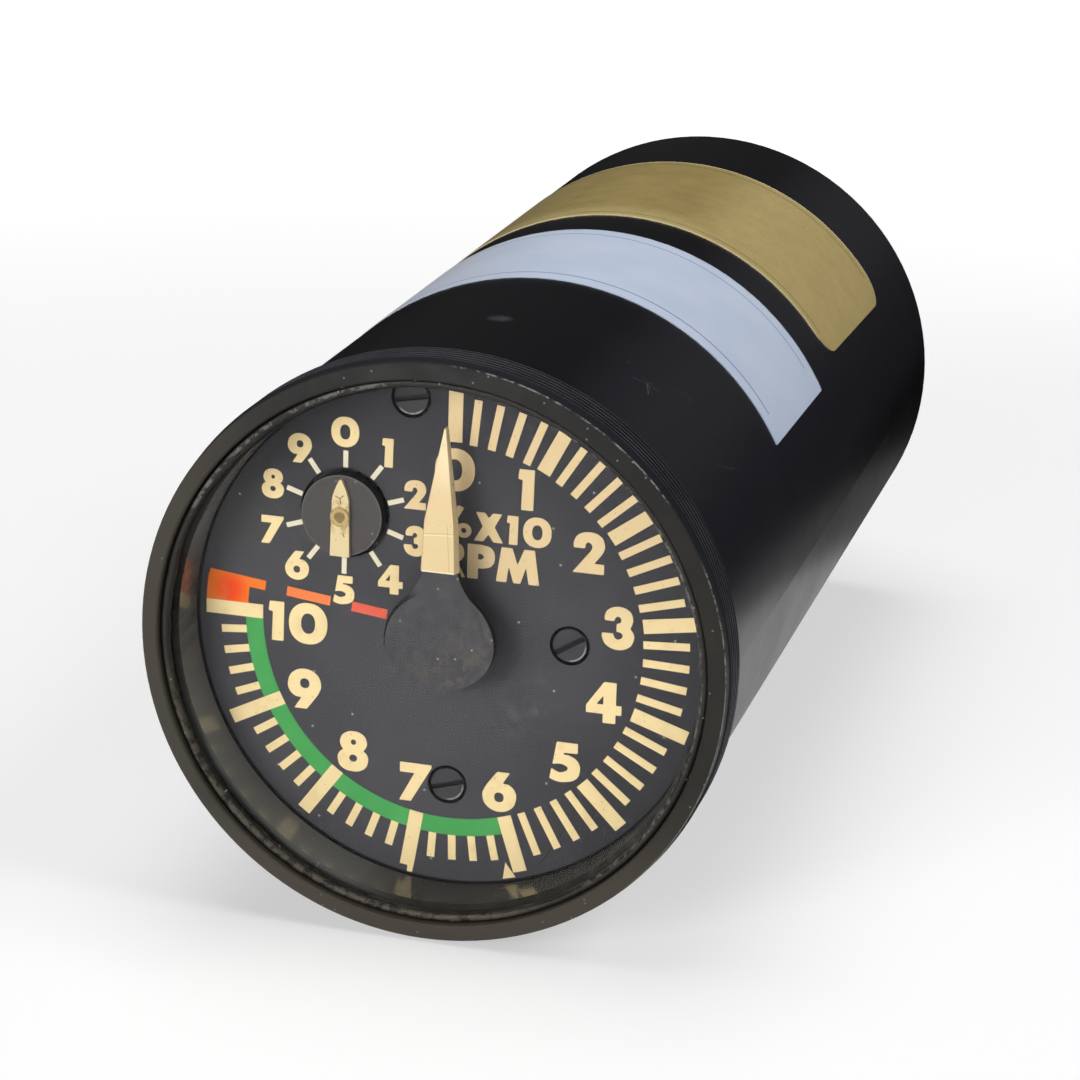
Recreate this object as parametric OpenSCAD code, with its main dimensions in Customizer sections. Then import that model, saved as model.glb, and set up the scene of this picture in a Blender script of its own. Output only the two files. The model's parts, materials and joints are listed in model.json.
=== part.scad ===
// Turbine tachometer: a long 2-inch clamp-mounted indicator with a percent scale and a units dial.
// The origin is on the case axis at the back face of the bezel ring. +X is right and +Z is up,
// towards the zero mark. The dial faces -Y and the connector points to +Y.
// Each sub-part is drawn in the dial's own frame, with +z towards the reader, and then stood up.

/* [Case and bezel] */
// Outside diameter of the case, the standard 2-inch clamp size
case_d = 50.8; // [50.4:0.1:51.4]
// Wall thickness of the case tube
case_wall = 1.2; // [0.9:0.1:1.4]
// Length of the case behind the bezel
case_len = 106.2; // [104:0.1:115]
// Outside diameter of the bezel ring
bezel_d = 52.4; // [51.8:0.1:58]
// How far the bezel stands in front of the case
bezel_depth = 5.0; // [4.8:0.1:6]
// Number of grooves turned in the bezel's side
bezel_grooves = 5; // [2:1:5]
// Distance from groove to groove
groove_pitch = 0.65; // [0.4:0.05:0.65]
// Diameter of the dial that shows inside the mask ring
dial_view_d = 46.7; // [46:0.1:47]
// Thickness of the cover glass
lens_t = 1.3; // [0.8:0.1:1.4]

/* [Dial] */
// Depth of the dial's face behind the bezel's back face
dial_depth = 2.4; // [2.3:0.1:3]
// Thickness of the dial plate
dial_t = 1.2; // [1:0.1:1.2]
// Scale angle from zero to 100 percent
scale_sweep = 270; // [240:5:280]
// Numbered marks after zero
scale_steps = 10; // [10]
// Inner radius of the scale's numbered marks
scale_in_r = 17.4; // [16:0.1:18]
// Outer radius of the scale's numbered marks
scale_out_r = 22.55; // [21:0.05:23]
// Width of a numbered mark
major_w = 1.28; // [0.8:0.02:1.6]
// Width of a small mark
minor_w = 0.7; // [0.4:0.02:0.9]
// Units dial centre, to the right of the main pivot
units_x = -9.8; // [-10.2:0.1:-9.5]
// Units dial centre, above the main pivot
units_y = 10; // [9.5:0.1:10.4]
// Radius of the hole that the units disc turns in
units_hole_r = 4.05; // [4:0.05:4.05]

/* [Pointers] */
// Travel of the main pointer between its stops
pointer_travel = 297; // [280:1:300]
// Length of the main pointer from pivot to tip
pointer_len = 19.4; // [18:0.1:21]
// Radius of the dark teardrop hub
hub_r = 4.95; // [4:0.05:5.2]
// Height of the hub's underside above the dial
hub_gap = 2.9; // [2.2:0.1:2.9]
// Radius of the units disc
disc_r = 3.65; // [3.4:0.05:3.8]

/* [Gear train] */
// Tooth module
gear_m = 0.25; // [0.25]
// Teeth on the main gear
main_z = 80; // [80]
// Teeth on the idler pinion
idler_pinion_z = 20; // [20]
// Teeth on the idler wheel
idler_wheel_z = 60; // [60]
// Teeth on the units pinion
units_z = 18; // [18]
// Play between two meshing teeth at the pitch circle
backlash = 0.05; // [0.03:0.01:0.08]

/* [Motor and magnets] */
// Radius of the drag disc
drag_r = 13; // [11:0.5:13]
// Magnets on each of the two plates
drag_magnet_n = 8; // [4:2:10]
// Number of stator teeth
stator_teeth = 12; // [12]
// Radius of the motor's rotor
rotor_r = 10.5; // [9:0.1:10.6]

/* [Hidden] */

fine = 96;
small = 48;

// Case and bezel
case_r = case_d / 2;
case_in_r = case_r - case_wall;
bezel_r = bezel_d / 2;
spigot_r = case_r - 0.5;
spigot_len = 3.0;
seat_relief = 0.05;
seat_chamfer = 0.3;
case_edge_r = 0.8;
groove_depth = 0.22;
groove_floor = 0.25;
groove_flank = 0.1;
band_r = bezel_r - 0.15;
band_start = 0.1;
corner_drop = 0.35;
corner_r = 0.15;
lip_r = case_in_r + 0.3;
lip_from = bezel_depth - 1.5;

// Glass, its ring and the bead of sealant round it
view_r = dial_view_d / 2;
lens_r = case_in_r - 0.1;
lens_front = bezel_depth - 1.3;
ring_top = lens_front - lens_t;
bead_lap = 0.3;
bead_edge_t = 0.2;
bead_top = bezel_depth - 0.65;
bead_crown = 0.05;
bead_crown_w = 0.25;

// Dial
dial_z = -dial_depth;
dial_r = case_in_r - 0.2;
paint_t = 0.05;
step_a = scale_sweep / scale_steps;
minor_out_r = 21.4;
minor_in_r = 17.3;
green_from = 6;
green_in_r = 17.25;
green_out_r = 18.85;
green_minor_out_r = 21.2;
red_a = 276.8;
red_aside = 0.41;
red_w = 0.88;
red_bars = [[17.2, scale_out_r - 0.1], [11.15, 15.2], [5.9, 9.15]];
red_block_in_r = 18.65;
red_block_a = 277.8;
units_ticks = 10;
units_tick_w = 0.44;
units_tick_in_r = units_hole_r + 0.05;
units_tick_out_r = 5.6;
pivot_hole_r = 1.2;
screw_at = [[-4.0, 20.9, 11], [10.75, 0.2, 32], [0.06, -14.1, 17]];
screw_head_r = 1.5;
screw_head_t = 0.7;
screw_shank_r = 0.8;
screw_slot_w = 0.42;
screw_slot_t = 0.35;
counterbore_r = 1.8;
counterbore_t = 0.75;

// Movement plates, front faces and thicknesses
plate_r = 23.6;
front_plate_z = dial_z - dial_t;
front_plate_t = 2.0;
gear_room_z = front_plate_z - front_plate_t;
rear_plate_z = -13.0;
rear_plate_t = 1.6;
pillar_r = 1.8;
pillar_at_r = 20;
pillar_angles = [30, 150, 270];
jewel_r = 1.2;
main_pivot_r = 0.5;
units_pivot_r = 0.45;
idler_pivot_r = 0.3;
rear_pivot_r = 0.3;
running = 0.03;
arbor_r = 0.8;
small_arbor_r = 0.7;
arbor_front_z = gear_room_z - 0.3;
arbor_rear_z = rear_plate_z + 0.3;

// Gears: pitch radii, the idler's place and the angles that bring the teeth into mesh
function pitch_r(z) = gear_m * z / 2;
gear_t = 1.0;
wheel_t = 0.8;
pinion_t = 1.6;
main_gear_z = -6.6;
idler_pinion_front_z = -6.3;
idler_wheel_front_z = -8.6;
units_pinion_front_z = -8.2;
main_idler = pitch_r(main_z) + pitch_r(idler_pinion_z);
idler_units = pitch_r(idler_wheel_z) + pitch_r(units_z);
main_units = norm([units_x, units_y]);
units_dir = [units_x, units_y] / main_units;
along = (main_idler * main_idler - idler_units * idler_units + main_units * main_units)
    / (2 * main_units);
aside = sqrt(main_idler * main_idler - along * along);
idler_at = along * units_dir + aside * [-units_dir[1], units_dir[0]];
to_idler_a = atan2(idler_at[1], idler_at[0]);
to_units_a = atan2(units_y - idler_at[1], units_x - idler_at[0]);
flank_steps = 3;
pressure_a = 20;

// Stops: one pin on the main gear runs between two fixed pins
stop_r = 0.5;
stop_at_r = 8;
stop_rest_a = 150;
stop_touch_a = 2 * asin(stop_r / stop_at_r) + 0.3;
stop_gap = 0.15;

// Hairspring
spring_z = -10.6;
spring_h = 0.6;
spring_t = 0.16;
spring_turns = 5;
spring_steps = 24;
collet_r = 1.5;
collet_h = 1.2;
spring_in_r = collet_r + spring_t / 2;
spring_out_r = 5.8;
stud_w = 1.0;

// Drag disc and the magnet plates on each side of it
drag_z = -20.7;
drag_t = 0.8;
drag_hub_r = 2.0;
drag_hub_t = 1.1;
arbor_end_z = -22.2;
magnet_r = 2.5;
magnet_len = 3.0;
magnet_at_r = 9.8;
magnet_air = 0.5;
magnet_plate_r = 16.5;
magnet_front_t = 1.2;
magnet_back_t = 1.5;
magnet_eye_r = 4.0;
front_magnet_z = drag_z + magnet_air + magnet_len;
rear_magnet_z = drag_z - drag_t - magnet_air;
back_plate_z = rear_magnet_z - magnet_len;
spacer_r = 1.2;
spacer_at_r = 14.9;
spacer_n = 4;

// Motor
bell_r = 22.4;
bell_t = 6.0;
bell_lip_t = 1.0;
bell_lip_r = 5.6;
front_bell_z = -29.5;
rear_bell_z = -82.0;
housing_r = 22.0;
housing_in_r = 20.5;
stator_z = -42;
stator_len = 33;
yoke_in_r = 16.5;
stator_bore_r = 11.0;
tooth_w = 3.0;
tooth_tip_w = 4.6;
tooth_tip_t = 1.4;
coil_t = 1.1;
coil_over = 2.0;
coil_in_r = 12.6;
coil_out_r = 16.3;
coil_corner_r = 1.4;
shaft_r = 2.0;
shaft_front_z = back_plate_z;
shaft_end_z = -89.5;
shaft_len = shaft_front_z - shaft_end_z;
rotor_magnet_z = -43.5;
rotor_magnet_len = 19;
hysteresis_z = -64;
hysteresis_len = 10;

// Ball bearings, 4 x 13 x 5 mm
bearing_out_r = 6.5;
bearing_w = 5.0;
outer_land_r = 5.1;
inner_land_r = 3.4;
ball_r = 1.1;
ball_at_r = (shaft_r + bearing_out_r) / 2;
ball_n = 8;
race_r = ball_r + 0.1;
cage_half_w = 0.5;
cage_t = 1.4;
bearing_fronts = [front_bell_z - bell_lip_t, rear_bell_z];

// Rear end and connector
cover_z = -101.7;
cover_t = 2.5;
cover_screw_r = 1.4;
cover_head_r = 2.0;
cover_head_t = 1.1;
rear_pillar_r = 2.0;
flange_w = 25.4;
flange_t = 2.0;
flange_corner_r = 2.5;
flange_hole_pitch = 18.26;
flange_screw_r = 1.3;
flange_head_r = 2.1;
flange_head_t = 1.2;
shell_r = 7.94;
shell_bore_r = 6.6;
shell_len = 10.8;
shell_edge = 0.5;
skirt_r = 8.0;
skirt_len = 5.2;
key_w = 1.2;
key_t = 0.8;
insert_front_z = cover_z - cover_t + skirt_len;
insert_len = 11;
pin_at_r = 3.6;
pin_angles = [90, 210, 330];
pin_r = 0.8;
pin_front_z = -97.2;
pin_len = 17.8;
wire_r = 0.55;
wire_at_r = 14.45;
wire_bend_z = -91;
wire_hole_r = 2.0;

// Stands the dial's frame up, so that the reader's side faces -Y.
module stand() {
    rotate([90, 0, 0]) children();
}

// An extruded outline whose front face is at z and which is t thick.
module plate(z, t) {
    translate([0, 0, z - t]) linear_extrude(t) children();
}

module disc(r, z, t) {
    translate([0, 0, z - t]) cylinder(h = t, r = r, $fn = fine);
}

module ring(r_out, r_in, z, t) {
    difference() {
        disc(r_out, z, t);
        disc(r_in, z + 1, t + 2);
    }
}

module round_about(n) {
    for (i = [0:n - 1]) rotate([0, 0, i * 360 / n]) children();
}

module at_pillars() {
    for (a = pillar_angles) rotate([0, 0, a]) translate([pillar_at_r, 0, 0]) children();
}

module at_units() {
    translate([units_x, units_y, 0]) children();
}

module at_idler() {
    translate([idler_at[0], idler_at[1], 0]) children();
}

// A mark on a scale, a clockwise angle from the top.
module mark(a, r_in, r_out, w) {
    rotate([0, 0, -a]) translate([-w / 2, r_in]) square([w, r_out - r_in]);
}

// A piece of ring between two clockwise angles from the top, under 180 degrees apart.
module ring_sector(r_in, r_out, a_from, a_to) {
    far = 2 * r_out;
    intersection() {
        difference() {
            circle(r = r_out, $fn = fine);
            circle(r = r_in, $fn = fine);
        }
        polygon([[0, 0], far * [sin(a_from), cos(a_from)],
            far * [sin((a_from + a_to) / 2), cos((a_from + a_to) / 2)], far * [sin(a_to), cos(a_to)]]);
    }
}

// Involute teeth. inv is the involute function in degrees; half_a gives half of the tooth's
// angle at radius r, from its half angle at the pitch circle less half of the backlash.
function inv(a) = tan(a) * 180 / PI - a;
function flank_half_a(z, r) = 90 / z - backlash / 4 / pitch_r(z) * 180 / PI + inv(pressure_a)
    - inv(acos(min(1, pitch_r(z) * cos(pressure_a) / r)));
function flank_radii(z) =
    let (low = max(pitch_r(z) * cos(pressure_a), pitch_r(z) - 1.25 * gear_m), high = pitch_r(z) + gear_m)
    concat([pitch_r(z) - 1.25 * gear_m], [for (i = [0:flank_steps]) low + (high - low) * i / flank_steps]);
function tooth_points(z) =
    let (radii = flank_radii(z), n = len(radii))
    [for (t = [0:z - 1], side = [-1, 1], i = [0:n - 1])
        let (r = radii[side < 0 ? i : n - 1 - i],
            a = t * 360 / z + side * flank_half_a(z, max(r, radii[1])))
        r * [cos(a), sin(a)]];

module teeth(z) {
    polygon(tooth_points(z));
}

// A train wheel: toothed rim, round hub and straight spokes.
module spoked_wheel(z, spokes, rim_in_r, hub_out_r, bore_r) {
    spoke_w = 1.3;
    difference() {
        teeth(z);
        difference() {
            circle(r = rim_in_r, $fn = fine);
            circle(r = hub_out_r, $fn = small);
            for (i = [0:spokes - 1]) rotate(i * 360 / spokes) translate([0, -spoke_w / 2])
                square([rim_in_r + 1, spoke_w]);
        }
        circle(r = bore_r, $fn = small);
    }
}

// Outside pieces

module case_tube() {
    color([0.11, 0.11, 0.13]) stand() rotate_extrude($fn = fine) {
        translate([case_in_r, 0]) square([spigot_r - case_in_r, spigot_len]);
        translate([case_in_r, case_edge_r - case_len]) square([case_wall, case_len - case_edge_r]);
        translate([case_in_r, -case_len]) square([case_wall - case_edge_r, case_edge_r]);
        translate([case_r - case_edge_r, case_edge_r - case_len]) intersection() {
            circle(r = case_edge_r, $fn = small);
            translate([0, -case_edge_r]) square(case_edge_r);
        }
    }
}

// Side of the bezel from its back edge forward: each groove is a narrow trapezium.
function groove_points(i) =
    let (mid = (i + 0.5) * groove_pitch)
    [[bezel_r, mid - groove_floor / 2 - groove_flank], [bezel_r - groove_depth, mid - groove_floor / 2],
     [bezel_r - groove_depth, mid + groove_floor / 2], [bezel_r, mid + groove_floor / 2 + groove_flank]];

module bezel_ring() {
    grooves_end = bezel_grooves * groove_pitch;
    side = [for (i = [0:bezel_grooves - 1], p = groove_points(i)) p];
    color([0.2, 0.19, 0.17]) stand() rotate_extrude($fn = fine) polygon(concat(
        [[case_r + seat_relief, 0], [bezel_r, 0]], side,
        [[bezel_r, grooves_end], [band_r, grooves_end + band_start],
         [band_r, bezel_depth - corner_drop - corner_r],
         [band_r - corner_r, bezel_depth - corner_drop],
         [lip_r + corner_r, bezel_depth], [lip_r, bezel_depth - corner_r],
         [lip_r, lip_from], [case_in_r, lip_from],
         [case_in_r, spigot_len], [spigot_r, spigot_len], [spigot_r, seat_chamfer]]));
}

module lens() {
    color([0.85, 0.92, 0.95, 0.25]) stand() disc(lens_r, lens_front, lens_t);
}

// The bead fills the gap round the glass and the step behind the lip, and laps over the glass's rim.
module lens_sealant() {
    color([0.03, 0.03, 0.03]) stand() rotate_extrude($fn = fine)
        polygon([[case_in_r, ring_top], [case_in_r, lip_from], [lip_r, lip_from], [lip_r, bead_top],
            [lip_r - bead_crown_w, bead_top + bead_crown],
            [lens_r - bead_edge_t, lens_front + bead_edge_t], [lens_r - bead_lap, lens_front],
            [lens_r, lens_front], [lens_r, ring_top]]);
}

module mask_ring() {
    color([0.07, 0.07, 0.07]) stand() ring(case_in_r, view_r, ring_top, ring_top - dial_z);
}

module dial_plate() {
    color([0.24, 0.24, 0.26]) stand() difference() {
        disc(dial_r, dial_z, dial_t);
        disc(pivot_hole_r, dial_z + 1, dial_t + 2);
        at_units() disc(units_hole_r, dial_z + 1, dial_t + 2);
        for (s = screw_at) translate([s[0], s[1], 0]) {
            disc(counterbore_r, dial_z + 1, 1 + counterbore_t);
            disc(screw_shank_r, dial_z + 1, dial_t + 2);
        }
    }
}

// The numbered marks are the long ones; above 60 percent the small marks stand outside the arc.
module scale_ticks() {
    color([0.94, 0.85, 0.65]) stand() plate(dial_z + paint_t, paint_t) {
        for (k = [0:scale_steps])
            mark(k * step_a, k < green_from ? scale_in_r : green_in_r, scale_out_r, major_w);
        for (k = [0:scale_steps - 1], i = [1:4])
            mark((k + i / 5) * step_a, k < green_from ? minor_in_r : green_out_r,
                k < green_from ? minor_out_r : green_minor_out_r, minor_w);
        at_units() for (k = [0:units_ticks - 1])
            mark(k * 360 / units_ticks, units_tick_in_r, units_tick_out_r, units_tick_w);
    }
}

module green_arc() {
    color([0.24, 0.65, 0.33]) stand() plate(dial_z + paint_t, paint_t) difference() {
        ring_sector(green_in_r, green_out_r, green_from * step_a, scale_sweep);
        for (k = [green_from:scale_steps]) mark(k * step_a, scale_in_r - 1, scale_out_r, major_w);
    }
}

// A broken line just past full scale, which passes a little to one side of the pivot, and a block
// between it and the last numbered mark.
module red_limit_marks() {
    color([0.93, 0.38, 0.2]) stand() plate(dial_z + paint_t, paint_t) {
        for (bar = red_bars) rotate(-red_a) translate([red_aside - red_w / 2, bar[0]])
            square([red_w, bar[1] - bar[0]]);
        difference() {
            ring_sector(red_block_in_r, scale_out_r, scale_sweep, red_block_a);
            mark(scale_sweep, scale_in_r - 1, scale_out_r + 1, major_w);
        }
    }
}

module dial_screws() {
    floor_z = dial_z - counterbore_t;
    color([0.1, 0.1, 0.1]) stand() for (s = screw_at) translate([s[0], s[1], 0]) {
        difference() {
            disc(screw_head_r, floor_z + screw_head_t, screw_head_t);
            rotate([0, 0, s[2]]) translate([-screw_head_r - 1, -screw_slot_w / 2,
                floor_z + screw_head_t - screw_slot_t])
                cube([2 * screw_head_r + 2, screw_slot_w, screw_slot_t + 1]);
        }
        disc(screw_shank_r, floor_z, dial_t - counterbore_t + front_plate_t - 0.4);
    }
}

// Movement frame

module front_plate() {
    color([0.72, 0.72, 0.7]) stand() difference() {
        disc(plate_r, front_plate_z, front_plate_t);
        for (c = [[0, 0], [units_x, units_y], idler_at]) translate([c[0], c[1], 0])
            disc(jewel_r, front_plate_z + 1, front_plate_t + 2);
        for (s = screw_at) translate([s[0], s[1], 0])
            disc(screw_shank_r, front_plate_z + 1, front_plate_t + 2);
    }
}

module rear_plate() {
    color([0.72, 0.72, 0.7]) stand() difference() {
        disc(plate_r, rear_plate_z, rear_plate_t);
        for (c = [[0, 0], [units_x, units_y], idler_at]) translate([c[0], c[1], 0])
            disc(jewel_r, rear_plate_z + 1, rear_plate_t + 2);
    }
}

module plate_pillars() {
    color([0.78, 0.62, 0.3]) stand() at_pillars() disc(pillar_r, gear_room_z, gear_room_z - rear_plate_z);
}

module jewel_bearings() {
    color([0.7, 0.1, 0.2]) stand() {
        ring(jewel_r, main_pivot_r + running, front_plate_z, front_plate_t);
        ring(jewel_r, main_pivot_r + running, rear_plate_z, rear_plate_t);
        at_units() ring(jewel_r, units_pivot_r + running, front_plate_z, front_plate_t);
        at_units() ring(jewel_r, rear_pivot_r + running, rear_plate_z, rear_plate_t);
        at_idler() ring(jewel_r, idler_pivot_r + running, front_plate_z, front_plate_t);
        at_idler() ring(jewel_r, idler_pivot_r + running, rear_plate_z, rear_plate_t);
    }
}

module stop_pins() {
    reach = gear_room_z - main_gear_z - stop_gap;
    color([0.8, 0.8, 0.8]) stand()
        for (a = [stop_rest_a - stop_touch_a, stop_rest_a + pointer_travel + stop_touch_a])
            rotate([0, 0, -a]) translate([0, stop_at_r, 0]) disc(stop_r, gear_room_z, reach);
}

// Hairspring strip: an even spiral, wound clockwise from the collet to the stud.
function spring_r(i) = spring_in_r + (spring_out_r - spring_in_r) * i / (spring_turns * spring_steps);
function spring_side(offset) = [for (i = [0:spring_turns * spring_steps])
    (spring_r(i) + offset) * [sin(i * 360 / spring_steps), cos(i * 360 / spring_steps)]];

module spring_strip() {
    outer = spring_side(spring_t / 2);
    inner = spring_side(-spring_t / 2);
    n = len(outer);
    polygon(concat(outer, [for (i = [1:n]) inner[n - i]]));
}

module hairspring_stud() {
    stud_front = spring_z + 0.2;
    color([0.78, 0.62, 0.3]) stand() difference() {
        translate([-stud_w / 2, spring_out_r - stud_w / 2, rear_plate_z])
            cube([stud_w, stud_w, stud_front - rear_plate_z]);
        plate(spring_z, spring_h) spring_strip();
    }
}

// Motor, standing still

module motor_pillars() {
    top = rear_plate_z - rear_plate_t;
    color([0.75, 0.75, 0.75]) stand() at_pillars() disc(pillar_r, top, top - front_bell_z);
}

module bell(z, lip_first) {
    difference() {
        disc(bell_r, z, bell_t);
        disc(bell_lip_r, z + 1, bell_t + 2);
        disc(bearing_out_r, lip_first ? z - bell_lip_t : z, bell_t - bell_lip_t);
        for (a = pin_angles) rotate([0, 0, a]) translate([wire_at_r, 0, 0])
            disc(wire_hole_r, z + 1, bell_t + 2);
    }
}

module motor_front_bell() {
    color([0.62, 0.63, 0.64]) stand() bell(front_bell_z, true);
}

module motor_rear_bell() {
    color([0.62, 0.63, 0.64]) stand() bell(rear_bell_z, false);
}

module motor_housing() {
    top = front_bell_z - bell_t;
    color([0.55, 0.56, 0.58]) stand() ring(housing_r, housing_in_r, top, top - rear_bell_z);
}

module stator_core() {
    color([0.4, 0.4, 0.43]) stand() plate(stator_z, stator_len) {
        difference() {
            circle(r = housing_in_r, $fn = fine);
            circle(r = yoke_in_r, $fn = fine);
        }
        difference() {
            for (i = [0:stator_teeth - 1]) rotate(i * 360 / stator_teeth) {
                translate([0, -tooth_w / 2]) square([yoke_in_r + 0.5, tooth_w]);
                translate([0, -tooth_tip_w / 2]) square([stator_bore_r + tooth_tip_t, tooth_tip_w]);
            }
            circle(r = stator_bore_r, $fn = fine);
        }
    }
}

// An outline with round corners, built from squares and circles so that its faces stay exact.
module round_rect(w, h, r) {
    square([w - 2 * r, h], center = true);
    square([w, h - 2 * r], center = true);
    for (x = [-1, 1], y = [-1, 1]) translate([x * (w / 2 - r), y * (h / 2 - r)])
        circle(r = r, $fn = 32);
}

module stator_coils() {
    color([0.72, 0.4, 0.2]) stand() round_about(stator_teeth)
        translate([coil_in_r, 0, stator_z - stator_len / 2]) rotate([0, 90, 0])
            linear_extrude(coil_out_r - coil_in_r) difference() {
                round_rect(stator_len + 2 * coil_over, tooth_w + 2 * coil_t, coil_corner_r);
                square([stator_len, tooth_w], center = true);
            }
}

module race_cut() {
    rotate_extrude($fn = fine) translate([ball_at_r, 0]) circle(r = race_r, $fn = small);
}

module bearing_outer_rings() {
    color([0.8, 0.8, 0.82]) stand() for (z = bearing_fronts) difference() {
        ring(bearing_out_r, outer_land_r, z, bearing_w);
        translate([0, 0, z - bearing_w / 2]) race_cut();
    }
}

module bearing_inner_rings() {
    color([0.8, 0.8, 0.82]) stand() for (z = bearing_fronts) difference() {
        ring(inner_land_r, shaft_r, z, bearing_w);
        translate([0, 0, z - bearing_w / 2]) race_cut();
    }
}

// Three leads from the windings to the contacts: straight, slanting inwards, and straight again.
module wire_run(from, to) {
    run = to - from;
    translate(from) rotate([0, atan2(run[0], run[2]), 0]) cylinder(h = norm(run), r = wire_r, $fn = small);
}

module lead_wires() {
    start = [wire_at_r, 0, stator_z - stator_len - coil_over];
    bend = [wire_at_r, 0, wire_bend_z];
    tuck = [pin_at_r, 0, pin_front_z + 1.2];
    color([0.85, 0.85, 0.8]) stand() for (a = pin_angles) rotate([0, 0, a]) {
        wire_run(start, bend);
        wire_run(bend, tuck);
        wire_run(tuck, [pin_at_r, 0, pin_front_z]);
        for (p = [bend, tuck]) translate(p) sphere(r = wire_r, $fn = small);
    }
}

// Rear end

module rear_pillars() {
    top = rear_bell_z - bell_t;
    color([0.75, 0.75, 0.75]) stand() difference() {
        at_pillars() disc(rear_pillar_r, top, top - cover_z);
        at_pillars() disc(cover_screw_r, cover_z + 4, 5);
    }
}

module at_flange_holes() {
    for (x = [-1, 1], y = [-1, 1])
        translate([x * flange_hole_pitch / 2, y * flange_hole_pitch / 2, 0]) children();
}

module rear_cover() {
    color([0.12, 0.12, 0.13]) stand() difference() {
        disc(case_in_r, cover_z, cover_t);
        disc(skirt_r, cover_z + 1, cover_t + 2);
        at_pillars() disc(cover_screw_r, cover_z + 1, cover_t + 2);
        at_flange_holes() disc(flange_screw_r, cover_z + 1, cover_t + 2);
    }
}

module slotted_head(r, z, t, slot_w, slot_t) {
    difference() {
        disc(r, z, t);
        translate([-r - 1, -slot_w / 2, z - t - 1]) cube([2 * r + 2, slot_w, slot_t + 1]);
    }
}

module rear_cover_screws() {
    back = cover_z - cover_t;
    color([0.55, 0.55, 0.57]) stand() at_pillars() {
        slotted_head(cover_head_r, back, cover_head_t, 0.5, 0.5);
        disc(cover_screw_r, cover_z + 4, cover_t + 4);
    }
}

module connector_shell() {
    back = cover_z - cover_t;
    flange_back = back - flange_t;
    color([0.5, 0.5, 0.45]) stand() {
        difference() {
            union() {
                disc(skirt_r, back + skirt_len, skirt_len);
                plate(back, flange_t) round_rect(flange_w, flange_w, flange_corner_r);
                disc(shell_r, flange_back, shell_len - shell_edge);
                translate([0, 0, flange_back - shell_len])
                    cylinder(h = shell_edge, r1 = shell_r - shell_edge, r2 = shell_r, $fn = fine);
            }
            disc(shell_bore_r, back + skirt_len + 1, skirt_len + flange_t + shell_len + 2);
            at_flange_holes() disc(flange_screw_r, back + 1, flange_t + 2);
        }
        intersection() {
            translate([-key_w / 2, shell_bore_r - key_t, flange_back - shell_len + 1])
                cube([key_w, key_t + 0.4, insert_front_z - insert_len - flange_back + shell_len - 1]);
            disc(shell_bore_r + 0.2, flange_back, shell_len);
        }
    }
}

module connector_insert() {
    color([0.15, 0.16, 0.15]) stand() difference() {
        disc(shell_bore_r, insert_front_z, insert_len);
        for (a = pin_angles) rotate([0, 0, a]) translate([pin_at_r, 0, 0])
            disc(pin_r, insert_front_z + 1, insert_len + 2);
    }
}

module contact_pins() {
    color([0.85, 0.7, 0.35]) stand() for (a = pin_angles) rotate([0, 0, a]) translate([pin_at_r, 0, 0]) {
        disc(pin_r, pin_front_z, pin_len - pin_r);
        translate([0, 0, pin_front_z - pin_len + pin_r]) sphere(r = pin_r, $fn = small);
    }
}

module connector_screws() {
    back = cover_z - cover_t - flange_t;
    color([0.55, 0.55, 0.57]) stand() at_flange_holes() {
        slotted_head(flange_head_r, back, flange_head_t, 0.5, 0.5);
        disc(flange_screw_r, cover_z, cover_t + flange_t);
    }
}

// Main pointer and what turns with it

hub_low_r = 4.2;
hub_rise = 0.28;
neck_half_w = 1.42;
neck_fillet = 5.0;
neck_top = 9.4;
hub_t = 0.8;
hub_z = dial_z + hub_gap + hub_t;
hub_boss_r = 1.5;
hub_boss_t = 2.2;
hub_bore_t = 0.5;
fillet_x = neck_half_w + neck_fillet;
fillet_y = sqrt((hub_r + neck_fillet) * (hub_r + neck_fillet) - fillet_x * fillet_x);
fillet_a = atan2(fillet_y, fillet_x);

// Right half of the teardrop, from its foot up: quarter ellipse, circle, hollow fillet and neck.
function hub_side() = concat(
    [for (a = [-90:7.5:-7.5]) [hub_r * cos(a), hub_rise + hub_low_r * sin(a)]],
    [for (i = [0:5]) [hub_r * cos(fillet_a * i / 5), hub_rise + hub_r * sin(fillet_a * i / 5)]],
    [for (i = [1:6]) let (a = 180 + fillet_a * (6 - i) / 6)
        [fillet_x + neck_fillet * cos(a), hub_rise + fillet_y + neck_fillet * sin(a)]],
    [[neck_half_w, neck_top]]);

module pointer_hub() {
    side = hub_side();
    n = len(side);
    color([0.19, 0.19, 0.21]) stand() difference() {
        union() {
            plate(hub_z, hub_t)
                polygon(concat(side, [for (i = [1:n - 1]) [-side[n - i][0], side[n - i][1]]]));
            disc(hub_boss_r, hub_z - hub_t, hub_boss_t);
        }
        disc(main_pivot_r, hub_z - hub_t + hub_bore_t, hub_boss_t + hub_bore_t + 1);
    }
}

// The blade's section is a low trapezium, given at its foot, shoulder and tip. From the shoulder
// on, the blade dips towards the dial.
blade_from = 6.95;
blade_shoulder = 11.3;
blade_t = 0.7;
blade_at = [blade_from, blade_shoulder, pointer_len];
blade_low_half_w = [1.74, 1.52, 0.12];
blade_top_half_w = [1.45, 1.27, 0.06];
blade_dip = [0, 0, 1.2];

module blade_section(i) {
    skin = 0.02;
    low = blade_low_half_w[i];
    high = blade_top_half_w[i];
    translate([0, blade_at[i] + skin / 2, hub_z - blade_dip[i]]) rotate([90, 0, 0])
        linear_extrude(skin) polygon([[-low, 0], [low, 0], [high, blade_t], [-high, blade_t]]);
}

module pointer_blade() {
    color([0.93, 0.84, 0.66]) stand() for (i = [0, 1]) hull() {
        blade_section(i);
        blade_section(i + 1);
    }
}

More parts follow.
